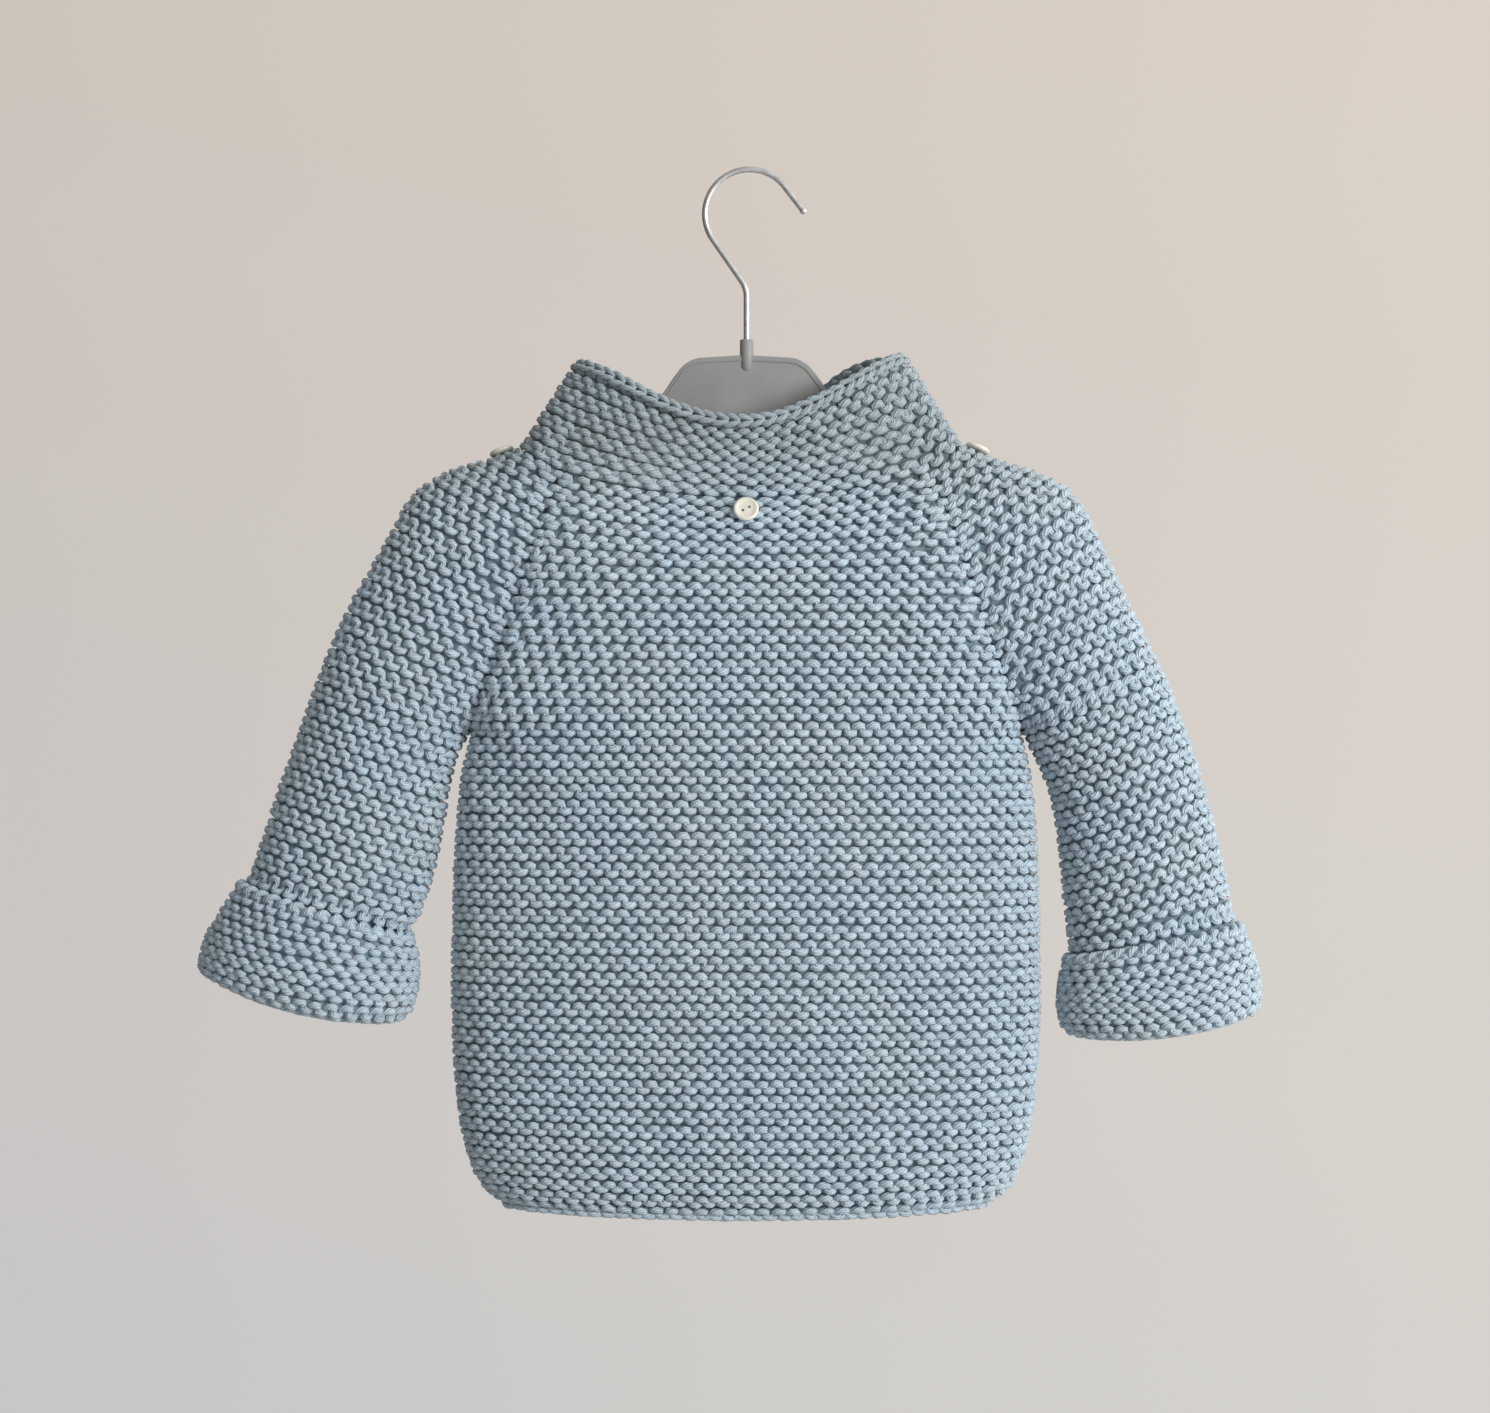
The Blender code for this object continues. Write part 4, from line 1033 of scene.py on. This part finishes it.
def build_winding(knit, material, rng):
    """Yarn wound slantwise round a tube's free edge, at row 0."""
    shares = np.linspace(0.0, 1.0, WINDING_SAMPLES)
    edge = knit.line(0.1, shares, CUFF_WALL / 2)
    up = unit(edge - knit.line(0.6, shares, CUFF_WALL / 2))
    out = knit.outward(np.full_like(shares, 0.2), shares, np.full_like(shares, CUFF_WALL / 2))
    distance = distances(edge)
    turns = int(round(distance[-1] / WINDING_PITCH))
    t = np.linspace(0.0, turns, turns * WINDING_POINTS + 1)
    knots = np.arange(-1, turns + 2, 0.5)
    phase = 2 * math.pi * (t + wander(rng, knots, t, 0.03)) * knit.flip
    at = (t + wander(rng, knots, t, 0.04)) * distance[-1] / turns
    here, up_here, out_here = (read_along(at, distance, values) for values in (edge, up, out))
    ring = up_here * np.sin(phase)[:, None] + out_here * np.cos(phase)[:, None]
    tubes = Tubes()
    tubes.add(here + WINDING_COIL * ring, ring, YARN_RADIUS * 0.95, rng.uniform(0.0, 1.0))
    return tubes.build(f"{knit.name}_winding", material)


def socket_of(sockets, name):
    """The socket in use of that name: a Mix node has one for each kind of data."""
    return next(socket for socket in sockets if socket.name == name and socket.enabled)


class Graph:
    """A shader's nodes. Most methods add one and return its output, and an output as an input is linked."""

    def __init__(self, tree):
        self.nodes = tree.nodes
        self.links = tree.links

    def feed(self, node, inputs):
        for name, value in inputs.items():
            socket = node.inputs[name] if isinstance(name, int) else socket_of(node.inputs, name)
            if isinstance(value, bpy.types.NodeSocket):
                self.links.new(value, socket)
            else:
                socket.default_value = value

    def add(self, kind, inputs=None, output=0, **settings):
        node = self.nodes.new(f"ShaderNode{kind}")
        for name, value in settings.items():
            setattr(node, name, value)
        self.feed(node, inputs or {})
        return node.outputs[output]

    def place(self, output="Object"):
        return self.add("TexCoord", output=output)

    def axes(self, vector):
        return self.add("SeparateXYZ", {"Vector": vector}).node.outputs

    def noise(self, where, scale, detail, **others):
        inputs = {name.capitalize(): value for name, value in others.items()}
        return self.add("TexNoise", {"Vector": where, "Scale": scale, "Detail": detail, **inputs})

    def maths(self, operation, *values):
        return self.add("Math", dict(enumerate(values)), operation=operation)

    def multiply(self, one, other):
        return self.add("VectorMath", {0: one, 1: other}, operation="MULTIPLY")

    def scale(self, vector, by):
        return self.add("VectorMath", {0: vector, "Scale": by}, operation="SCALE")

    def ranged(self, value, known=(0.0, 1.0), wanted=(0.0, 1.0)):
        """Carry a value over from a known range to the wanted one."""
        inputs = {"From Min": known[0], "From Max": known[1], "To Min": wanted[0], "To Max": wanted[1]}
        return self.add("MapRange", {"Value": value, **inputs})

    def mix(self, factor, low, high):
        node = self.add("Mix", data_type="RGBA").node
        self.feed(node, {"Factor": factor, "A": low, "B": high})
        return socket_of(node.outputs, "Result")

    def ramp(self, factor, first, last, middle=None):
        """Colours at places: each is a (place, colour) pair."""
        colour = self.add("ValToRGB", {"Fac": factor})
        ends = colour.node.color_ramp.elements
        for end, (place, value) in zip(ends, (first, last)):
            end.position = place
            end.color = value
        if middle:
            ends.new(middle[0]).color = middle[1]
        return colour

    def bump(self, height, strength, distance, normal=None):
        inputs = {"Strength": strength, "Distance": distance, "Height": height}
        return self.add("Bump", {**inputs, "Normal": normal} if normal else inputs)


def new_material(name):
    material = bpy.data.materials.new(name)
    material.use_nodes = True
    graph = Graph(material.node_tree)
    return material, graph, graph.nodes["Principled BSDF"]


def mottled_colour(graph, base, cool, warm):
    """Yarn colour that drifts a little over the cloth, and is darkened and greyed towards the neck as painted
    shade.
    """
    where = graph.place()
    patches = graph.noise(where, 22.0, 3.0, roughness=0.6)
    stitches = graph.noise(where, 190.0, 2.0)
    drift = graph.ramp(patches, (0.38, cool), (0.68, warm), (0.50, base))
    scaled = graph.scale(drift, graph.ranged(stitches, (0.3, 0.7), (0.86, 1.12)))
    # Painted shade: the colour is darkened and greyed towards the neck, between two heights.
    neck = graph.ranged(graph.axes(where)["Z"], (NECK_LOW, NECK_HIGH))
    return graph.multiply(scaled, graph.mix(neck, WHITE, NECK_SHADE))


def yarn_material():
    """Plied wool: ply lines that wind round the yarn, with painted shade in their grooves and painted light
    on their crests, fine fibres along them, and a soft sheen.
    """
    material, graph, shader = new_material("plied_wool")
    colour = mottled_colour(graph, YARN_BASE, YARN_COOL, YARN_WARM)
    yarn = graph.axes(graph.add("UVMap", uv_map="yarn"))
    along = graph.maths("MULTIPLY", yarn["X"], 2 * math.pi * PLIES / PLY_TWIST_LENGTH)
    wind = graph.maths("ADD", along, graph.maths("MULTIPLY", yarn["Y"], 2 * math.pi * PLIES))
    # The ply's height darkens the colour in its grooves and lightens it on its crests, as painted shade and
    # light, and also drives the bump.
    ply = graph.ranged(graph.maths("COSINE", wind), (-1.0, 1.0))
    fibres = graph.noise(graph.place(), 1500.0, 2.0, roughness=0.6)
    graph.feed(shader, {
        "Base Color": graph.multiply(colour, graph.mix(ply, PLY_GROOVE_SHADE, PLY_CREST_LIGHT)),
        "Normal": graph.bump(fibres, 0.5, 0.00022, graph.bump(ply, 1.0, 0.00034)),
        "Roughness": 0.78,
        "Specular IOR Level": 0.3,
        "Sheen Weight": 0.28,
        "Sheen Roughness": 0.45,
        "Sheen Tint": (1.0, 0.98, 0.96, 1.0),
    })
    return material


def cloth_material():
    """The cloth behind the stitches: darker than the yarn as painted shade, with arches and cups in low
    relief by its stitch coordinates, which darken and lighten its colour as painted shade and light.
    """
    material, graph, shader = new_material("knitted_cloth")
    colour = mottled_colour(graph, SHADED_CLOTH_BASE, SHADED_CLOTH_COOL, SHADED_CLOTH_WARM)
    stitches = graph.axes(graph.add("UVMap", uv_map="stitches"))
    waves = [graph.maths("COSINE", graph.maths("MULTIPLY_ADD", stitches[axis], 2 * math.pi, offset))
             for axis, offset in (("X", 0.0), ("Y", math.pi / 2))]
    # Painted shade and light: the relief darkens the colour in its hollows and lightens it on its tops.
    relief = graph.ranged(graph.maths("MULTIPLY", *waves), (-1.0, 1.0))
    fibres = graph.noise(graph.place(), 900.0, 3.0)
    graph.feed(shader, {
        "Base Color": graph.scale(colour, graph.ranged(relief, wanted=(0.72, 1.25))),
        "Normal": graph.bump(fibres, 0.6, 0.0003, graph.bump(relief, 1.0, 0.0012)),
        "Roughness": 0.95,
        "Specular IOR Level": 0.15,
        "Sheen Weight": 0.2,
    })
    return material


def button_material():
    """Ivory plastic, slightly clouded and speckled like horn or corozo."""
    material, graph, shader = new_material("ivory_button")
    where = graph.place()
    clouds = graph.noise(where, 420.0, 4.0, roughness=0.6, distortion=0.6)
    graph.feed(shader, {
        "Base Color": graph.ramp(clouds, (0.36, (0.66, 0.64, 0.56, 1.0)), (0.66, (0.72, 0.71, 0.64, 1.0))),
        "Normal": graph.bump(graph.noise(where, 2600.0, 2.0), 0.25, 0.00008),
        "Roughness": graph.ranged(clouds, wanted=(0.30, 0.50)),
    })
    return material


def plastic_material():
    """Grey polystyrene with a fine moulded grain and faint scuffs."""
    material, graph, shader = new_material("grey_moulded_plastic")
    where = graph.place()
    grain = graph.noise(where, 1800.0, 3.0, roughness=0.65)
    flow = graph.noise(where, 38.0, 3.0)
    graph.feed(shader, {
        "Base Color": graph.ramp(flow, (0.3, (0.240, 0.242, 0.246, 1.0)), (0.7, (0.276, 0.278, 0.281, 1.0))),
        "Normal": graph.bump(grain, 0.35, 0.0001),
        "Roughness": graph.ranged(grain, wanted=(0.42, 0.62)),
    })
    return material


def steel_material():
    """Drawn steel wire with a little tarnish."""
    material, graph, shader = new_material("drawn_steel")
    tarnish = graph.noise(graph.place(), 260.0, 4.0, roughness=0.6)
    graph.feed(shader, {
        "Base Color": graph.ramp(tarnish, (0.30, (0.52, 0.51, 0.49, 1.0)), (0.62, (0.74, 0.74, 0.74, 1.0))),
        "Roughness": graph.ranged(tarnish, wanted=(0.34, 0.20)),
        "Metallic": 1.0,
    })
    return material


def lathe(profile, sides, middle_x=0.0, closed=False):
    """A mesh turned from (radius, z) points round an upright axis. A radius of 0 makes a single point."""
    mesh = bmesh.new()
    turns = [2 * math.pi * i / sides for i in range(sides)]
    rings = []
    for radius, z in profile:
        ring = [mesh.verts.new((middle_x + radius * math.cos(a), radius * math.sin(a), z))
                for a in (turns if radius else [0.0])]
        rings.append(ring if radius else ring * sides)
    for ring, after in zip(rings, rings[1:] + (rings[:1] if closed else [])):
        for i in range(sides):
            j = (i + 1) % sides
            mesh.faces.new(list(dict.fromkeys((ring[i], ring[j], after[j], after[i]))))
    return mesh


def turned_button(name, place, material):
    """A button turned from its profile round its own axis, with two holes cut through it."""
    dish = BUTTON_THICKNESS - 0.0005
    profile = [
        (0.0000, dish), (0.0012, dish), (0.0024, dish), (0.0034, dish + 0.00004), (0.0041, dish + 0.00022),
        (0.0046, dish + 0.00042), (0.0050, dish + 0.0005), (0.0054, dish + 0.0004), (0.0058, dish + 0.0001),
        (0.0060, dish - 0.0005), (0.0059, dish - 0.0011), (0.0055, 0.0006), (0.0048, 0.00012), (0.0036, 0.0),
        (0.0020, 0.0), (0.0000, 0.0),
    ]
    mesh = lathe(profile, BUTTON_SIDES)
    bmesh.ops.recalc_face_normals(mesh, faces=mesh.faces[:])
    piece = put(name, mesh_data(name, mesh))
    piece.data.materials.append(material)
    for end in (-1, 1):
        drill = bmesh.new()
        bmesh.ops.create_cone(drill, cap_ends=True, segments=16, radius1=BUTTON_HOLE_RADIUS,
                              radius2=BUTTON_HOLE_RADIUS, depth=0.01)
        bmesh.ops.translate(drill, verts=drill.verts[:], vec=(end * BUTTON_HOLE_OFFSET, 0.0, 0.0))
        drill_piece = put("drill", mesh_data("drill", drill))
        cut = piece.modifiers.new("hole", "BOOLEAN")
        cut.operation = "DIFFERENCE"
        cut.object = drill_piece
        cut.solver = "EXACT"
        settled = bpy.data.meshes.new_from_object(piece.evaluated_get(bpy.context.evaluated_depsgraph_get()))
        piece.modifiers.clear()
        piece.data = settled
        bpy.data.objects.remove(drill_piece)
    piece.data.name = name
    piece.data.shade_smooth()
    piece.data.set_sharp_from_angle(angle=math.radians(40))
    piece.data.transform(place)
    return piece


def button_place(point, normal):
    up = Vector(normal).normalized()
    side = Vector((0.0, 0.0, 1.0)).cross(up)
    side = side.normalized() if side.length > 0.1 else Vector((1.0, 0.0, 0.0))
    turn = Matrix((side, up.cross(side), up)).transposed().to_4x4()
    return Matrix.Translation(Vector(point) + up * SEAM_GAP) @ turn @ Matrix.Rotation(BUTTON_TURN, 4, "Z")


def surface_normal(surface, row, share, outward):
    """Unit normal of a surface function, on the side of the outward hint."""
    step = 0.02
    along = surface(row, share + step, 0.0) - surface(row, share - step, 0.0)
    down = surface(row + 1.0, share, 0.0) - surface(row - 0.9, share, 0.0)
    normal = Vector(along).cross(Vector(down)).normalized()
    return normal if normal.dot(Vector(outward)) > 0 else -normal


def build_buttons():
    material = button_material()
    places = []
    nape = back_surface(NAPE_BUTTON_ROW, 0.5, 0.0)
    places.append(("nape_button", nape, surface_normal(back_surface, NAPE_BUTTON_ROW, 0.5, (0, -1, 0))))
    for side, lean in (("left", -0.31), ("right", 0.35)):
        point = sleeve_surface(side, SHOULDER_BUTTON_ROW, SHOULDER_BUTTON_SHARE, 0.0)
        places.append((f"{side}_shoulder_button", point, Vector((lean, 0.16, 0.93))))
    for number, row in enumerate(FRONT_BUTTON_ROWS, start=1):
        point = front_surface("left", row + 0.5, front_share(row + 0.5, 0.0), 0.0)
        places.append((f"front_button_{number}", point, Vector((0, 1, 0))))
    for node, point, normal in places:
        piece = turned_button(f"{node}_turned", button_place(point, normal), material)
        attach(piece, "root")
        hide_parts(node)


def arm_top(side):
    """The arm's top edge as (x, z) points: just under the inside of the sleeve along the shoulder line."""
    crest = 0.5
    beside = crest + 1 / ARM_FIT_COLUMNS
    ridge_line = []
    for row in (0, 3, 6):
        middle = sleeve_surface(side, row, crest, WALL)
        flank = sleeve_surface(side, row, beside, WALL)
        ridge_line.append(middle + (flank - middle) * (PLATE_THICKNESS / 2) / abs(flank[1] - middle[1]))
    points = [(x, z - ARM_CLEARANCE) for x, _, z in ridge_line]
    start, end = points[-2:]
    share = (ARM_TIP - abs(start[0])) / (abs(end[0]) - abs(start[0]))
    return points[:-1] + [(math.copysign(ARM_TIP, end[0]), start[1] + (end[1] - start[1]) * share)]


def hanger_outline():
    """Outline of the hanger's plate and arms as (x, z) points, clockwise from the top's middle."""
    right = arm_top("right")
    left = arm_top("left")
    shoulder = [(0.0240, -0.0882), (0.0298, -0.0915), (0.0345, -0.0975), (0.0400, -0.1060), (0.0560, -0.1190)]
    outline = [(0.0, PLATE_TOP)] + shoulder + right

    def tip(sign, last):
        x, z = last
        return [(x + sign * 0.0030, z - 0.0050), (x, z - ARM_TIP_HEIGHT)]

    def underside(sign):
        return [(sign * 0.1000, right[0][1] - ARM_ROOT_HEIGHT), (sign * 0.0500, PLATE_BOTTOM)]

    outline += tip(1, right[-1]) + underside(1)
    outline += underside(-1)[::-1] + tip(-1, left[-1])[::-1]
    outline += left[::-1] + [(-x, z) for x, z in shoulder[::-1]]
    return outline


def rounded_outline(points, cut):
    """Round the corners of a closed outline, each by an arc that starts at most cut away from it."""
    rounded = []
    points = [Vector(point) for point in points]
    for i, corner in enumerate(points):
        before = points[i - 1] - corner
        after = points[(i + 1) % len(points)] - corner
        reach = min(cut, before.length * 0.45, after.length * 0.45)
        start = corner + before.normalized() * reach
        end = corner + after.normalized() * reach
        for step in range(5):
            share = step / 4
            rounded.append(start.lerp(corner, share).lerp(corner.lerp(end, share), share))
    return rounded


def inset_outline(points, distance):
    """Move a clockwise closed outline inwards."""
    result = []
    for i, point in enumerate(points):
        way = (points[(i + 1) % len(points)] - points[i - 1]).normalized()
        result.append(point + Vector((way.y, -way.x)) * distance)
    return result


def curve_mesh(name, points, extrude, bevel, resolution=2, filled=True):
    """A plate or, unfilled, a bead along a closed outline of (x, z) points, in the plane y = 0."""
    curve = bpy.data.curves.new(name, "CURVE")
    curve.dimensions = "2D" if filled else "3D"
    if filled:
        curve.fill_mode = "BOTH"
    curve.extrude = extrude
    curve.bevel_depth = bevel
    curve.bevel_resolution = resolution
    spline = curve.splines.new("POLY")
    spline.points.add(len(points) - 1)
    for target, (x, z) in zip(spline.points, points):
        target.co = (x, z, 0.0, 1.0)
    spline.use_cyclic_u = True
    holder = put(name, curve)
    holder.rotation_euler = (math.radians(90), 0.0, 0.0)
    bpy.context.view_layer.update()
    evaluated = holder.evaluated_get(bpy.context.evaluated_depsgraph_get())
    data = bpy.data.meshes.new_from_object(evaluated)
    data.transform(holder.matrix_world)
    bpy.data.objects.remove(holder)
    return data


def hanger_socket():
    """The socket that holds the hook's shank, with its bore."""
    bottom = PLATE_TOP - SOCKET_ROOT
    bore = WIRE_RADIUS + SEAM_GAP / 2
    floor = SOCKET_TOP - SOCKET_BORE_DEPTH
    return lathe([
        (SOCKET_RADIUS * 0.6, bottom - 0.002),
        (SOCKET_RADIUS, bottom),
        (SOCKET_RADIUS, SOCKET_TOP - 0.0006),
        (SOCKET_RADIUS - 0.0002, SOCKET_TOP - 0.0002),
        (SOCKET_RADIUS - 0.0006, SOCKET_TOP),
        (bore + 0.0003, SOCKET_TOP),
        (bore, SOCKET_TOP - 0.0003),
        (bore, floor),
        (bore * 0.5, floor - 0.0002),
    ], SOCKET_SIDES, HOOK_SHANK_X, closed=True)


def build_hanger():
    """Plate and arms with rounded edges, a raised bead along the rim, and the hook's socket."""
    outline = rounded_outline(hanger_outline(), PLATE_CORNER)
    flat = inset_outline(outline, PLATE_EDGE)
    rim = inset_outline(outline, RIM_WIDTH + PLATE_EDGE)
    half_thickness = PLATE_THICKNESS / 2
    whole = bmesh.new()
    whole.from_mesh(curve_mesh("plate", flat, half_thickness - PLATE_EDGE, PLATE_EDGE))
    bead = curve_mesh("bead", rim, 0.0, RIM_HEIGHT, 1, False)
    for side in (-1, 1):
        moved = bead.copy()
        moved.transform(Matrix.Translation((0.0, side * (half_thickness - RIM_SINK), 0.0)))
        whole.from_mesh(moved)
    whole.from_mesh(mesh_data("socket", hanger_socket()))
    bmesh.ops.remove_doubles(whole, verts=whole.verts[:], dist=0.000002)
    bmesh.ops.recalc_face_normals(whole, faces=whole.faces[:])
    data = mesh_data("moulded_hanger", whole)
    data.materials.clear()
    data.materials.append(plastic_material())
    data.shade_smooth()
    data.set_sharp_from_angle(angle=math.radians(38))
    piece = put("moulded_hanger", data)
    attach(piece, "root")
    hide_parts("hanger")


def hook_route():
    """Centre line of the hook as (x, z) points: up the shank, over the bend, round the arc to its end."""
    first, last = (math.radians(angle) for angle in HOOK_ARC)
    arc = []
    for step in range(HOOK_ARC_STEPS + 1):
        angle = first + (last - first) * step / HOOK_ARC_STEPS
        x = HOOK_CENTRE[0] + HOOK_RADIUS * math.cos(angle)
        arc.append((x, HOOK_CENTRE[1] + HOOK_RADIUS * math.sin(angle)))
    corner = Vector((HOOK_SHANK_X, HOOK_BEND_Z))
    away = (Vector(arc[0]) - corner).normalized() * HOOK_BEND_RADIUS
    bend = []
    for step in range(HOOK_BEND_STEPS):
        share = step / (HOOK_BEND_STEPS - 1)
        start = corner + Vector((0.0, -HOOK_BEND_RADIUS)) * (1 - share)
        end = corner + away * share
        bend.append(tuple(start.lerp(end, share)))
    shank = [(HOOK_SHANK_X, SOCKET_TOP - SOCKET_BORE_DEPTH + SEAM_GAP)]
    return shank + bend + arc + [HOOK_END]


def build_hook():
    """The wire, with its end rounded into a small ball."""
    route = np.array(hook_route())
    distance = distances(route)
    ball = HOOK_BALL_RADIUS
    ball_centre = distance[-1] - ball
    plain_end = ball_centre - math.sqrt(ball ** 2 - WIRE_RADIUS ** 2)
    turns = np.linspace(math.pi - math.asin(WIRE_RADIUS / ball), 0.08, 9)[1:]
    at = np.concatenate((np.linspace(0.0, plain_end, HOOK_STEPS), ball_centre + ball * np.cos(turns)))
    radius = np.concatenate((np.full(HOOK_STEPS, WIRE_RADIUS), ball * np.sin(turns)))
    x, z = read_along(at, distance, route).T
    tubes = Tubes(HOOK_SIDES)
    tubes.add(stack(x, 0.0, z), np.tile([0.0, -1.0, 0.0], (len(at), 1)), radius)
    piece = tubes.build("wire_hook", steel_material())
    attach(piece, "root")
    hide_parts("hanger_hook")


def all_knits():
    """Every knitted piece by its node's name."""
    def front_end(row):
        return float(front_share(row, -LAP))

    def front(side, flip, **others):
        return Knit(f"{side}_front", lambda r, s, d: front_surface(side, r, s, d), HEM_ROW, PITCH, 1.0, flip,
                    front_end, raglans=(0,), stitch_points=HIDDEN_STITCH_POINTS, **others)

    def sleeve(side, flip, hole):
        ridges, at = SLEEVE_RIDGES[side].values[:, 1:].T
        rows = int(math.ceil(ridges[-2]))
        return Knit(f"{side}_sleeve", lambda r, s, d: sleeve_surface(side, np.interp(r, ridges, at), s, d),
                    rows, SLEEVE_PITCH, 0.5, flip, covered=ridges[-1] - rows, raglans=(0, 1), holes=(hole,))

    def cuff(side, flip):
        pitch = Table("row pitch", [(0, CUFF_PITCH), (CUFF_RIDGES, CUFF_PITCH)])
        return Knit(f"{side}_cuff", lambda r, s, d: cuff_surface(side, np.asarray(r) / CUFF_RIDGES, s, d),
                    CUFF_RIDGES, pitch, 0.5, flip)

    knits = [
        Knit("back", back_surface, HEM_ROW, PITCH, raglans=(0, 1), holes=(1,)),
        front("left", -1, holes=(0,)),
        front("right", 1),
        Knit("collar", collar_rows_surface, COLLAR_ROWS, PITCH, stitches=COLLAR_STITCHES, covered=0.25),
        sleeve("left", -1, 0),
        cuff("left", -1),
        sleeve("right", 1, 1),
        cuff("right", 1),
    ]
    return {knit.name: knit for knit in knits}


def knit_piece(name, knit, wool, cloth, rng):
    """The shell of a knitted piece and all the yarn on it."""
    side = name.split("_")[0]
    kind = name.split("_")[-1]
    shell = (build_cuff_shell if kind == "cuff" else build_shell)(knit, SHELL_COLUMNS[kind], cloth)
    if kind == "sleeve":
        return shell, [build_yarn(knit, wool, rng)]
    if kind == "front":
        last_share = knit.end_share(HEM_ROW)
        return shell, [build_yarn(knit, wool, rng), build_edge(knit, wool, rng, HEM_EDGE_ROW, last_share)]
    if kind == "cuff":
        fold = Knit(f"{name}_fold", lambda r, s, d: fold_surface(side, r, s, d), 2, knit.pitch,
                    flip=knit.flip)
        return shell, [
            build_yarn(knit, wool, rng),
            build_yarn(fold, wool, rng),
            build_winding(knit, wool, rng),
        ]
    if kind == "back":
        return shell, [
            build_yarn(knit, wool, rng, range(BODY_SPLIT_ROW), "back_yoke_yarn"),
            build_yarn(knit, wool, rng, range(BODY_SPLIT_ROW, HEM_ROW), "back_body_yarn"),
            build_edge(knit, wool, rng, HEM_EDGE_ROW),
        ]
    inside = Knit("collar_inside", lambda r, s, d: collar_rows_surface(r, s, WALL - d), COLLAR_ROWS, PITCH,
                  flip=-1, stitches=COLLAR_STITCHES, stitch_points=HIDDEN_STITCH_POINTS)
    ridges = np.linspace(COLLAR_FIRST_RIDGE, COLLAR_ROWS - 1.0, COLLAR_ROWS - 1)
    beside = np.sin(collar_angle(np.linspace(0.0, 1.0, EDGE_SAMPLES))) ** 4
    return shell, [
        build_yarn(knit, wool, rng, ridges),
        build_yarn(inside, wool, rng),
        build_edge(knit, wool, rng, COLLAR_EDGE_ROW, 1.0, COLLAR_EDGE_PITCH, COLLAR_EDGE_TILT,
                   COLLAR_EDGE_LIFT - COLLAR_EDGE_DROP * beside, "edge"),
    ]


def build_cloth():
    rng = np.random.default_rng(SEED)
    wool = yarn_material()
    cloth = cloth_material()
    knits = all_knits()
    raglans = build_raglans(knits, wool, rng)
    for name, knit in knits.items():
        shell, extras = knit_piece(name, knit, wool, cloth, rng)
        seams = (f"{name}_raglan", f"left_{name}_raglan", f"right_{name}_raglan")
        extras += [piece for piece in raglans if piece.name in seams]
        for piece in [shell] + extras:
            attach(piece, "root")
        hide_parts(name)


def build_world():
    """A pale wall far behind, painted lighter and warmer to one side as painted light, and a soft light
    stronger from that side.
    """
    world = bpy.data.worlds.new("studio")
    bpy.context.scene.world = world
    world.use_nodes = True
    graph = Graph(world.node_tree)
    way = graph.axes(graph.place("Generated"))
    across = graph.ranged(way["X"], (-WALL_ACROSS, WALL_ACROSS))
    height = graph.ranged(way["Z"], (-WALL_UP, WALL_UP))
    wall = graph.mix(height, graph.mix(across, *WALL_LOW), graph.mix(across, *WALL_HIGH))
    seen = graph.nodes["Background"]
    graph.feed(seen, {"Color": wall})
    fill = graph.add("Background", {
        "Color": graph.mix(graph.ranged(way["Z"], (-FILL_TURN, FILL_TURN)), FILL_LOW, FILL_HIGH),
        "Strength": graph.maths("MULTIPLY_ADD", way["X"], FILL_ACROSS, FILL_MIDDLE),
    })
    to_camera = graph.add("LightPath", output="Is Camera Ray")
    chosen = graph.add("MixShader", {0: to_camera, 1: fill, 2: seen.outputs["Background"]})
    graph.feed(graph.nodes["World Output"], {"Surface": chosen})


def build_floor():
    """A small round floor under the coat."""
    material, graph, shader = new_material("pale_floor")
    cloud = graph.noise(graph.place(), 6.0, 3.0)
    colour = graph.mix(cloud, (0.60, 0.57, 0.54, 1.0), (0.66, 0.63, 0.59, 1.0))
    graph.feed(shader, {"Base Color": colour, "Roughness": 0.85})
    disc = bmesh.new()
    bmesh.ops.create_circle(disc, cap_ends=True, segments=FLOOR_SIDES, radius=FLOOR_RADIUS)
    bmesh.ops.translate(disc, verts=disc.verts[:], vec=(0.0, 0.0, FLOOR_HEIGHT))
    floor = put("floor", mesh_data("floor", disc))
    floor.data.materials.append(material)


def add_key_light():
    data = bpy.data.lights.new("key", "AREA")
    data.shape = "DISK"
    data.size = KEY_SIZE
    data.energy = KEY_POWER
    data.color = KEY_COLOUR
    light = put("key", data)
    light.location = KEY_PLACE
    light.rotation_euler = (Vector(KEY_TARGET) - Vector(KEY_PLACE)).to_track_quat("-Z", "Y").to_euler()


def build_camera():
    data = bpy.data.cameras.new("camera")
    data.sensor_width = SENSOR_WIDTH
    data.lens = SENSOR_WIDTH * abs(CAMERA_PLACE[1]) / FRAME_WIDTH
    camera = put("camera", data)
    camera.location = CAMERA_PLACE
    camera.rotation_euler = (math.radians(90), 0.0, 0.0)
    bpy.context.scene.camera = camera


def main():
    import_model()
    bpy.context.scene.view_settings.view_transform = "Standard"
    build_camera()
    build_world()
    build_floor()
    add_key_light()
    build_cloth()
    build_buttons()
    build_hanger()
    build_hook()


main()
